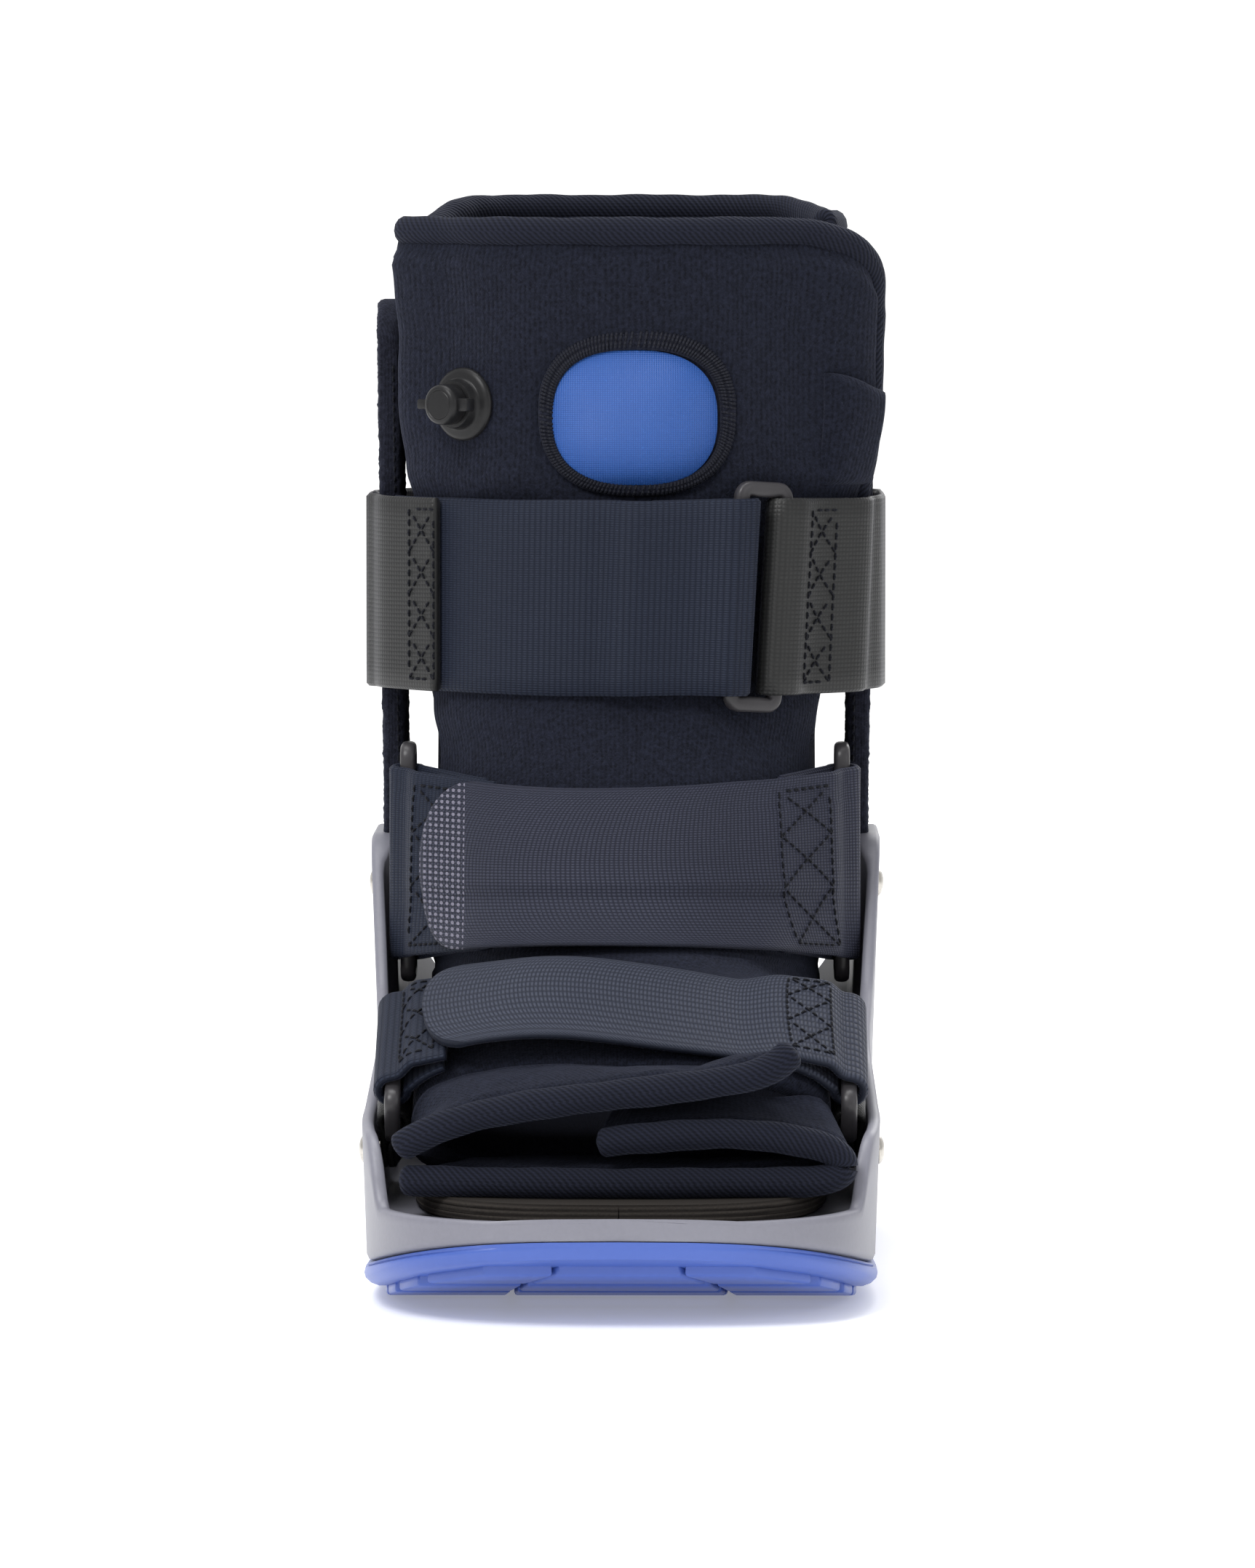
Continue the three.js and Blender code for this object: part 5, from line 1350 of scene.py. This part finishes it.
for label, ring in rings.items():
    for side, word in hands:
        long = Vector((0, ring["run"][0], ring["run"][1]))
        wideAxis = Vector((0, ring["run"][1], -ring["run"][0]))
        reach = ring["wide"] / 2 - ringBar / 2
        middle = Vector((side * ring["across"], ring["y"], ring["z"])) + wideAxis * reach
        loopPiece(label + "Ring" + word.capitalize(), f"{label}_ring_{word}", middle, long, wideAxis, ring["long"],
                  ring["wide"], ringBar, ringBar, 2.4)
spot, spotTurn = track.at(buckleAt, buckleLevel)
alongBuckle = Vector((math.cos(spotTurn * degree), math.sin(spotTurn * degree), 0))
outBuckle = Vector((math.sin(spotTurn * degree), -math.cos(spotTurn * degree), 0))
leaning = Matrix.Rotation(-legStrap["tilt"] * degree, 3, outBuckle)
loopPiece("legBuckle", "leg_buckle", Vector((spot[0], -spot[1], legStrap["height"])), leaning @ Vector((0, 0, 1)),
          leaning @ alongBuckle, buckle["tall"], buckle["wide"], buckle["bar"], buckle["thick"], 2.2)
print("rings made")


# Uprights: flat stays covered with loop cloth
def makeUpright(side, word):
    half = upright["width"] / 2
    corner = half * 0.7
    outline = [(-half, 0), (half, 0)]
    for y, start in ((half - corner, 0), (corner - half, 90)):
        outline += [(y + corner * math.cos(t * degree), upright["height"] - corner + corner * math.sin(t * degree))
                    for t in spread(9, start, start + 90)]
    bm = bmesh.new()
    face = bm.faces.new([bm.verts.new((0, y, z)) for y, z in outline])
    made = bmesh.ops.extrude_face_region(bm, geom=[face])
    shift = Vector((upright["thick"] - 0.6, 0, 0))
    bmesh.ops.translate(bm, vec=shift, verts=[v for v in made["geom"] if isinstance(v, bmesh.types.BMVert)])
    bmesh.ops.recalc_face_normals(bm, faces=bm.faces)
    rims = [e for e in bm.edges if len({round(v.co.x, 3) for v in e.verts}) == 1]
    bmesh.ops.bevel(bm, geom=rims, offset=1.6, segments=3, profile=0.5, affect="EDGES", material=-1)
    bmesh.ops.triangulate(bm, faces=[f for f in bm.faces if len(f.verts) > 4])
    for _ in range(8):
        long = [e for e in bm.edges if e.calc_length() > 1.5]
        bmesh.ops.subdivide_edges(bm, edges=long, cuts=1, use_grid_fill=True)
    inner = upright["spread"] - upright["thick"] + 0.3
    layer = bm.loops.layers.uv.new("cloth")
    for v in bm.verts:
        # the pile's rough surface
        pile = 0.12 * noise.noise(v.co * 0.3) + 0.42 * noise.noise(v.co * 0.8) + 0.3 * noise.noise(v.co * 2.1)
        height = v.co.z + upright["foot"]
        lean = upright["lean"] * max(0, height - sole["armHeight"])
        v.co = (side * (inner + v.co.x + pile + lean), v.co.y + 0.5 * pile + upright["forward"], height)
    for f in bm.faces:
        for loop in f.loops:
            loop[layer].uv = ((loop.vert.co.y + loop.vert.co.x) * mm, loop.vert.co.z * mm)
    bm.transform(Matrix.Scale(mm, 4))
    piece = finishBmesh("upright" + word.capitalize(), bm, cloth["loop"], 60)
    place(piece, [f"upright_{word}"])
    top = upright["foot"] + upright["height"] - 14
    run = [Vector((side * (inner + 1.6 + upright["lean"] * max(0, z - sole["armHeight"])),
                   upright["forward"] - half - 0.1, z)) for z in spread(60, 110, top)]
    stitchRun("upright", run, [Vector((0, -1, 0))] * len(run), 2.6, 1.9, 0.3)


for side, word in hands:
    makeUpright(side, word)
place(makeStitches("uprightThread", "upright", cloth["thread"]), [])
print("uprights made")


# Shell, sole and foam
def valueAt(rows, y):
    forward = -y / sole["toeReach"] if y < 0 else -y / sole["heelReach"]
    i = 0
    while i < len(rows) - 2 and rows[i + 1][0] < forward:
        i += 1
    share = clamp((forward - rows[i][0]) / (rows[i + 1][0] - rows[i][0]), 0, 1)
    return mix(rows[i][1], rows[i + 1][1], share)


def eased(rows, y, reach=5):
    return sum(valueAt(rows, y + d) for d in (-reach, -reach / 2, 0, reach / 2, reach)) / 5


def roundEnd(share, exponent):
    return max(0.004, (1 - clamp(share, 0, 1) ** exponent) ** (1 / exponent))


def halfWidthAt(y, inset):
    toe = roundEnd((-y - 70) / (sole["toeReach"] - inset - 70), 3)
    heel = roundEnd((y - 85) / (sole["heelReach"] - inset - 85), 2.6)
    return (sole["half"] * eased(waist, y) - inset) * toe * heel


def springShare(y):
    return (max(0, -y - sole["springStart"]) / (sole["toeReach"] - sole["springStart"])) ** 2


def heelShare(y):
    return (max(0, y - sole["flatHeelEnd"]) / (sole["heelReach"] - sole["flatHeelEnd"])) ** 2


def shellBottomAt(y):
    return sole["underside"] + sole["spring"] * springShare(y) + sole["heelLift"] * heelShare(y) / 2


def outsoleBottomAt(y):
    return sole["toeLift"] * springShare(y) + sole["heelLift"] * heelShare(y)


def placeAlong(forward):
    return -forward * (sole["toeReach"] if forward > 0 else sole["heelReach"])


def wallTopAt(y):
    rim = max(shellBottomAt(y) + sole["rim"], sole["floor"] + 2.4)
    wall = sole["armHeight"] * eased(wallTop, y, 3) if y > placeAlong(0.79) else 0
    blend = smooth(y, placeAlong(0.79), placeAlong(0.745))
    return max(rim, mix(rim, wall, blend))


def armShareAt(y):
    return smooth(y, placeAlong(-0.17), placeAlong(-0.22)) * (1 - smooth(y, placeAlong(-0.56), placeAlong(-0.62)))


def cavityHalfAt(y, clearance):
    return halfWidthAt(y, sole["wall"] + clearance) - (sole["arm"] - sole["wall"]) * armShareAt(y)


def soleStations(inset, count):
    low, high = -(sole["toeReach"] - inset), sole["heelReach"] - inset
    places = []
    for k in range(count):
        share = k / (count - 1)
        slow = 0.5 - 0.5 * math.cos(math.pi * share)
        places.append(mix(low, high, mix(share, slow, 0.75)))
    return places


def loftPiece(name, polygons, material, angle=50):
    count = len(polygons[0])
    vertices = [p for polygon in polygons for p in polygon]
    faces, _ = skin(len(polygons), count, lambda i, j: None)
    faces += [tuple(range(count)), tuple((len(polygons) - 1) * count + j for j in range(count))]
    uvs = [tuple((vertices[n].y * mm, vertices[n].z * mm) for n in face) for face in faces]
    piece = toObject(name, vertices, faces, uvs, material)
    piece.data.set_sharp_from_angle(angle=angle * degree)
    return piece


def bothSides(half, y):
    return [Vector((x, y, z)) for x, z in half + [(-x, z) for x, z in reversed(half)]]


def makeShell():
    polygons = []
    innerLow, innerHigh = -(sole["toeReach"] - sole["wall"]), sole["heelReach"] - sole["wall"]
    for y in soleStations(0, 170):
        half = halfWidthAt(y, 0)
        low, top = shellBottomAt(y), wallTopAt(y)
        share = min(1, half / sole["half"])
        lean = sole["lean"] * (top - low) * share
        hollow = innerLow < y < innerHigh
        inner = cavityHalfAt(y, 0) if hollow else 0.05
        floor = sole["floor"] if hollow else top - 0.05
        innerLean = sole["lean"] * (top - floor) * share
        inner = min(inner, half - 0.3)
        wall = half + lean - inner - innerLean
        soft = min(1.1, wall * 0.35)
        c = min(1.8, half * 0.5)
        low += 1.8 - c
        right = [(half * 0.5, low), (half - c, low), (half - c * 0.3, low + c * 0.3), (half, low + c),
                 (half + lean * 0.35, mix(low + c, top, 0.35)), (half + lean * 0.7, mix(low + c, top, 0.7)),
                 (half + lean, top - soft), (half + lean - soft * 0.3, top - soft * 0.3), (half + lean - soft, top),
                 (inner + innerLean + soft, top), (inner + innerLean + soft * 0.3, top - soft * 0.3),
                 (inner + innerLean, top - soft), (inner + innerLean * 0.5, mix(floor, top - soft, 0.5)),
                 (inner, min(floor + 1.2, top - soft)), (inner - min(1.2, inner * 0.5), floor), (inner * 0.5, floor)]
        polygons.append(bothSides(right, y))
    piece = loftPiece("shell", polygons, hard["shell"], 55)
    place(piece, ["base_shell"])


makeShell()


def makeFoam():
    polygons = []
    for y in soleStations(11.6, 80):
        half = cavityHalfAt(y, 0.6) * min(1, halfWidthAt(y, 11.6) / max(0.1, halfWidthAt(y, 2.6)))
        low, top = foamBottom, footbed - 0.3
        c = min(0.8, half * 0.4)
        ring = [(half * 0.5, low), (half - c, low), (half, low + c), (half, mix(low, top, 0.34)),
                (half - 0.3, mix(low, top, 0.37)), (half, mix(low, top, 0.40)), (half, mix(low, top, 0.64)),
                (half - 0.3, mix(low, top, 0.67)), (half, mix(low, top, 0.70)), (half, top - c), (half - c, top),
                (half * 0.5, top)]
        polygons.append(bothSides(ring, y))
    piece = loftPiece("insoleFoam", polygons, hard["foam"], 50)
    place(piece, ["insole_foam"])


makeFoam()


tread = {"front": -138, "back": 134, "long": 15, "short": 11, "shortFrom": 110, "gap": 3, "deep": 2.9,
         "widest": 59.5, "narrowest": 6, "columns": ((-0.98, -0.475), (-0.445, 0.445), (0.475, 0.98))}


def makeOutsole():
    polygons = []
    for y in soleStations(0, 150):
        half = halfWidthAt(y, 0)
        low = outsoleBottomAt(y) + 2.4
        top = shellBottomAt(y) - 0.3
        c = min(3, half / 3)
        bulge = 0.6 * min(1, half / 30)
        k = min(1, half / 4)
        ring = [(half * 0.5, low), (half - c, low), (half - c * 0.35, low + 0.7),
                (half + bulge - 0.3 * k, low + 2.0), (half + bulge, mix(low, top, 0.55)),
                (half + bulge - 0.3 * k, top - 1.3), (half - 0.5 * k, top - 0.9), (half - 0.2 * k, top - 0.5),
                (half - 0.8 * k, top), (half * 0.5, top)]
        polygons.append(bothSides(ring, y))
    piece = loftPiece("outsole", polygons, hard["sole"], 40)
    bm = openMesh(piece)
    y = tread["front"]
    while y < tread["back"]:
        depth = tread["long"] if abs(y) < tread["shortFrom"] else tread["short"]
        for left, right in tread["columns"]:
            near, far = (min(halfWidthAt(clamp(edge, -143, 139), 3.5), tread["widest"]) for edge in (y, y + depth))
            if (right - left) * min(near, far) < tread["narrowest"]:
                continue
            quad = [(left * near, y), (right * near, y), (right * far, y + depth), (left * far, y + depth)]
            low, high = ([bm.verts.new(Vector((x, edge, outsoleBottomAt(edge) + rise)) * mm) for x, edge in quad]
                         for rise in (0, tread["deep"]))
            made = [bm.faces.new(reversed(low))]
            for k in range(4):
                n = (k + 1) % 4
                made.append(bm.faces.new((low[k], low[n], high[n], high[k])))
            made.append(bm.faces.new(high))
            edges = list(made[0].edges)
            uprightEdges = [e for f in made[1:5] for e in f.edges
                            if abs(e.verts[0].co.z - e.verts[1].co.z) > 0.0015]
            bmesh.ops.bevel(bm, geom=list(set(edges + uprightEdges)), offset=0.0007, segments=2, profile=0.5,
                            affect="EDGES", material=-1)
        y += depth + tread["gap"]
    closeMesh(bm, piece.data, 40)
    place(piece, ["outsole"])


makeOutsole()
print("sole made")

# Rivets
rivets = {"ankle": (55, 92.8, 13.4), "foot": (-66, 35.5, 6.2)}


def wallFaceAt(y, z):
    low = shellBottomAt(y)
    half = halfWidthAt(y, 0)
    return half + sole["lean"] * (z - low) * min(1, half / sole["half"])


for label, (y, z, shank) in rivets.items():
    for side, word in hands:
        base = Vector((side * (wallFaceAt(y, z + 3.7) + 0.3), y, z))
        piece = lathePiece(f"{label}Rivet{word.capitalize()}", [
            (0.01, 1.4), (1.2, 1.36), (2.2, 1.12), (3.1, 0.7), (3.6, 0.2), (3.7, 0), (3.4, -0.25), (2.2, -0.3),
            (2.2, -shank), (0.01, -shank)], base, (side, 0, 0), hard["steel"], 32)
        place(piece, [f"{label}_rivet_{word}"])


# Anchors of the rings: webbing folded round a bar and riveted
anchorThickness = 1.8
footAnchorWidth = 33


def makeAnkleAnchor(side, word):
    ring = rings["ankle"]
    barY = ring["y"] + ring["wide"] - ringBar
    radius = ringBar / 2 + clothGap + anchorThickness / 2
    outerX = upright["spread"] - upright["thick"] - clothGap - anchorThickness / 2
    innerX = outerX - anchorThickness - 0.3
    end = upright["forward"] + 3.7 * 2.5
    path = [(innerX, -end), (innerX, -barY - 8)]
    path += [pushOut((ring["across"], -barY), t, radius) for t in spread(17, -100, 90)]
    path += [(outerX, -(upright["forward"] - upright["width"] / 2 - 2)), (outerX, -end)]
    fine = smoothPath(path, 90)
    width = ring["long"] - 2 * ringBar - 13

    def rowAt(share):
        z = ring["z"] + mix(-width / 2, width / 2, share)
        return fine, [0] * len(fine), lambda p, _: Vector((side * p[0], -p[1], z))

    piece = bandPiece("ankleAnchor" + word.capitalize(), "web", edgeShares(8, 0.014), width, anchorThickness, rowAt,
                      "folded")
    place(piece, [f"ankle_anchor_{word}"])


def makeFootAnchor(side, word):
    ring = rings["foot"]
    radius = ringBar / 2 + clothGap + anchorThickness / 2

    def rowAt(share):
        section = sectionAt(mix(0.09, 0.9, share))
        upper = barAt(section, 1, ring)
        bar = (upper[0], upper[1] - (ring["wide"] - ringBar))
        end = (footbed + 2 - section["z"]) / section["dirZ"]
        wall = cavityHalfAt(section["y"] + section["dirY"] * end, 0)
        outerX = wall - clothGap - anchorThickness / 2
        innerX = outerX - anchorThickness - 0.3
        path = [(innerX, end), (innerX, mix(end, bar[1], 0.45))]
        path += [pushOut(bar, t, radius) for t in spread(17, -95, 95)]
        path += [(outerX, mix(end, bar[1], 0.7)), (outerX, end)]
        return smoothPath(path, 70), [0] * 70, lambda p, _: inSpace(section, (side * p[0], p[1]))

    piece = bandPiece("footAnchor" + word.capitalize(), "web", edgeShares(9, 0.014), footAnchorWidth, anchorThickness,
                      rowAt, "folded")
    place(piece, [f"foot_anchor_{word}"])


for side, word in hands:
    makeAnkleAnchor(side, word)
    makeFootAnchor(side, word)
print("anchors made")

# Toe wraps and their bindings
leftWrap = [(-0.97, 0.043, -150), (-0.88, 0.058, -105), (-0.68, 0.077, -78), (-0.40, 0.092, -50), (-0.05, 0.103, -22),
            (0.25, 0.111, 3), (0.50, 0.119, 20), (0.66, 0.130, 31), (0.76, 0.150, 38)]
rightWrap = [(-0.96, 0.014, -165), (-0.50, 0.014, -174), (0, 0.014, 180), (0.50, 0.014, 171), (0.82, 0.014, 158),
             (0.95, 0.020, 125), (0.97, 0.034, 100), (0.90, 0.047, 80), (0.72, 0.058, 58), (0.44, 0.064, 35),
             (0.10, 0.060, 14), (-0.10, 0.055, 0)]
wrap = {"thickness": 6.2, "overlap": 62, "edge": 0.81, "curve": 0.05, "radius": 3.3}


def toeEdgeY(across):
    return placeAlong(wrap["edge"]) + wrap["curve"] * sole["toeReach"] * across ** 2


def makeWrap(name, rows, tucked, node):
    section = sectionAt(0)
    front = [Vector((row[0] * linerHalf, heightAt(row[1]), 0)) for row in rows]
    back = []
    for row in rows:
        deep = wrap["thickness"] + 2 * clothGap if tucked and abs(row[2]) < wrap["overlap"] else 0
        p = outlinePoint(section, row[2], -wrap["thickness"] / 2 - clothGap - deep)
        back.append(Vector((p[0], p[1], 0)))
    columns, steps = 90, 26
    frontRun = catmull(front, columns)
    backRun = catmull(back, columns)
    frontSides, backSides = (thickened([(p.x, p.y) for p in run], wrap["thickness"]) for run in (frontRun, backRun))
    outer, inner = [], []
    for k in range(steps):
        share = 0.98 * k / (steps - 1)
        rowOut, rowIn = [], []
        for j in range(columns):
            edge = min(j, columns - 1 - j) / columns
            fall = 1 - smooth(edge, 0, 0.045)
            nose = 1 - smooth(share, 0, 0.16)
            rounding = max(fall * 0.75, nose * 0.55)
            starts = [Vector((s[j][0], toeEdgeY(frontRun[j].x / linerHalf), s[j][1])) for s in frontSides]
            ends = [inSpace(section, s[j]) for s in backSides]
            points = [a.lerp(b, share) for a, b in zip(starts, ends)]
            middle = (points[0] + points[1]) / 2
            lift = (points[0] - points[1]).normalized()
            bulge = 0.9 * math.sin(math.pi * clamp(share / 0.9, 0, 1)) * (1 - fall)
            bump = softness(middle, 0.9, 0.05) + softness(middle, 0.35, 0.15)
            if name == "toeWrapLeft":
                fold = bell(middle.x, 30, 7) * bell(middle.y, -104, 9)
                dimple = bell(middle.x, 16, 4) * bell(middle.y, -103, 8)
                bump += 1.6 * fold - 1.8 * dimple
            out = points[0] + lift * (bulge + bump * (1 - nose))
            rowOut.append(out.lerp(middle, rounding))
            rowIn.append(points[1].lerp(middle, rounding))
        outer.append(rowOut)
        inner.append(rowIn)
    piece = slabPiece(name, outer, inner, cloth["liner"])
    place(piece, [node])


makeWrap("toeWrapLeft", leftWrap, False, "toe_wrap_left")
makeWrap("toeWrapRight", rightWrap, True, "toe_wrap_right")


def makeToeBinding(name, rows, node):
    run = []
    for row in rows:
        run.append(Vector((row[0] * linerHalf, toeEdgeY(row[0]) - wrap["radius"] + 0.8, heightAt(row[1]))))
    piece = rollPiece(name, catmull(run, 260), 3.6, 3.9, cloth["binding"], relief=pinch)
    place(piece, [node])


makeToeBinding("toeBindingLeft", leftWrap, "toe_binding_left")
makeToeBinding("toeBindingRight", rightWrap, "toe_binding_right")
print("toe made")


# Stitching on the straps
def onGrid(name, u, v, face):
    grid = strapGrids[name]
    alongs, shares = grid["along"], grid["shares"]
    u = clamp(u, 0, alongs[-1] - 0.01)
    v = clamp(v / grid["width"], 0, 0.9999)
    j = max(k for k in range(len(alongs) - 1) if alongs[k] <= u)
    i = max(k for k in range(len(shares) - 1) if shares[k] <= v)
    su = (u - alongs[j]) / max(1e-6, alongs[j + 1] - alongs[j])
    sv = (v - shares[i]) / max(1e-6, shares[i + 1] - shares[i])
    rows = grid[face]
    other = grid["inner" if face == "outer" else "outer"]
    p, q = (r[i][j].lerp(r[i][j + 1], su).lerp(r[i + 1][j].lerp(r[i + 1][j + 1], su), sv) for r in (rows, other))
    return p, (p - q).normalized()


def outwardFace(name):
    # the face of a strap's first run that looks away from the leg
    grid = strapGrids[name]
    i = len(grid["shares"]) // 2
    a, b = grid["outer"][i][2], grid["inner"][i][2]
    centre = Vector((0, 60, a.z))
    return "outer" if (a - centre).length > (b - centre).length else "inner"


def seamOn(name, corners):
    face = outwardFace(name)
    for (u0, v0), (u1, v1) in zip(corners, corners[1:]):
        steps = max(2, int(math.hypot(u1 - u0, v1 - v0) / 1.2))
        run, normals = [], []
        for k in range(steps + 1):
            p, n = onGrid(name, mix(u0, u1, k / steps), mix(v0, v1, k / steps), face)
            run.append(p)
            normals.append(n)
        stitchRun("straps", run, normals, 2.6, 2.0, 0.34)


def crossings(name, x):
    # distances along the strap at which its outer run passes a place across the boot
    grid = strapGrids[name]
    row = grid["outer"][len(grid["shares"]) // 2]
    return [grid["along"][k] for k in range(len(row) - 1) if (row[k].x - x) * (row[k + 1].x - x) <= 0]


def boxSeam(name, x0, x1, margin, diagonals, pick=0):
    # the last crossing but one lies before the end that folds back
    u0, u1 = crossings(name, x0)[pick], crossings(name, x1)[pick]
    width = strapGrids[name]["width"]
    seamOn(name, [(u0, margin), (u1, margin), (u1, width - margin), (u0, width - margin), (u0, margin)])
    step = (width - 2 * margin) / diagonals
    for k in range(diagonals):
        low, high = margin + k * step, margin + (k + 1) * step
        seamOn(name, [(u0, low), (u1, high)])
        seamOn(name, [(u1, low), (u0, high)])


boxSeam("legStrapBack", -54.5, -47.5, 3, 4)
boxSeam("legStrapBack", 44.5, 51.5, 3, 4, -2)
boxSeam("ankleStrapTab", -53, -41, 4, 3)
boxSeam("ankleStrapOver", 41, 53.5, 4, 3)
boxSeam("footStrapTab", -53, -46, 4, 3)
boxSeam("footStrapOver", 42, 52, 4, 3)
place(makeStitches("strapThread", "straps", cloth["thread"]), [])
print("stitches made")


# Floor, light and camera
def makeFloor():
    bm = bmesh.new()
    profile = [(-6, 0), (2.4, 0)]
    profile += [(2.4 + 1.6 * math.sin(t * degree), 1.6 - 1.6 * math.cos(t * degree)) for t in spread(16, 5, 90)]
    profile.append((4, 6))
    path = [bm.verts.new((-7, y, z)) for y, z in profile]
    edges = [bm.edges.new(pair) for pair in zip(path, path[1:])]
    made = bmesh.ops.extrude_edge_only(bm, edges=edges)
    bmesh.ops.translate(bm, vec=(14, 0, 0), verts=[v for v in made["geom"] if isinstance(v, bmesh.types.BMVert)])
    mesh = bpy.data.meshes.new("floor")
    closeMesh(bm, mesh)
    for polygon in mesh.polygons:
        polygon.use_smooth = True
    floor = linked("floor", mesh)
    material, tree, principled = newMaterial("paleFloor", 0.9)
    tone = noiseNode(tree, coords(tree, "Object"), 3)
    tree.links.new(mixColour(tree, tone, (0.92, 0.92, 0.92), (0.94, 0.94, 0.94)), principled.inputs["Base Color"])
    principled.inputs["Emission Color"].default_value = (1, 1, 1, 1)
    principled.inputs["Emission Strength"].default_value = 0.24
    mesh.materials.append(material)


def areaLight(name, location, aimHeight, size, energy):
    light = bpy.data.lights.new(name, "AREA")
    light.shape = "RECTANGLE"
    light.size = light.size_y = size
    light.energy = energy
    lamp = linked(name, light)
    lamp.location = location
    lamp.rotation_euler = (Vector((0, 0, aimHeight)) - Vector(location)).to_track_quat("-Z", "Y").to_euler()


makeFloor()
world = bpy.data.worlds.new("studio")
bpy.context.scene.world = world
world.use_nodes = True
world.node_tree.nodes["Background"].inputs["Color"].default_value = (1, 1, 1, 1)
world.node_tree.nodes["Background"].inputs["Strength"].default_value = 0.70
areaLight("key", (-0.8, -1.2, 1.6), 0.14, 0.7, 27)
areaLight("fill", (1.3, -1.1, 0.7), 0.12, 0.8, 3)
areaLight("top", (-0.1, 0.1, 1.7), 0.1, 1.0, 17)
areaLight("rim", (0.6, 1.4, 0.9), 0.15, 0.8, 5)
bpy.context.scene.view_settings.view_transform = "Standard"

camera = bpy.data.cameras.new("photoCamera")
camera.lens = 192.9
camera.sensor_width = 36
camera.clip_end = 20
cameraObject = linked("photoCamera", camera)
cameraObject.location = (0.022, -2.150, 0.267)
yaw, pitchDown = -0.565 * degree, 3.85 * degree
aim = Vector((math.sin(yaw) * math.cos(pitchDown), math.cos(yaw) * math.cos(pitchDown), -math.sin(pitchDown)))
cameraObject.rotation_euler = aim.to_track_quat("-Z", "Y").to_euler()
bpy.context.scene.camera = cameraObject
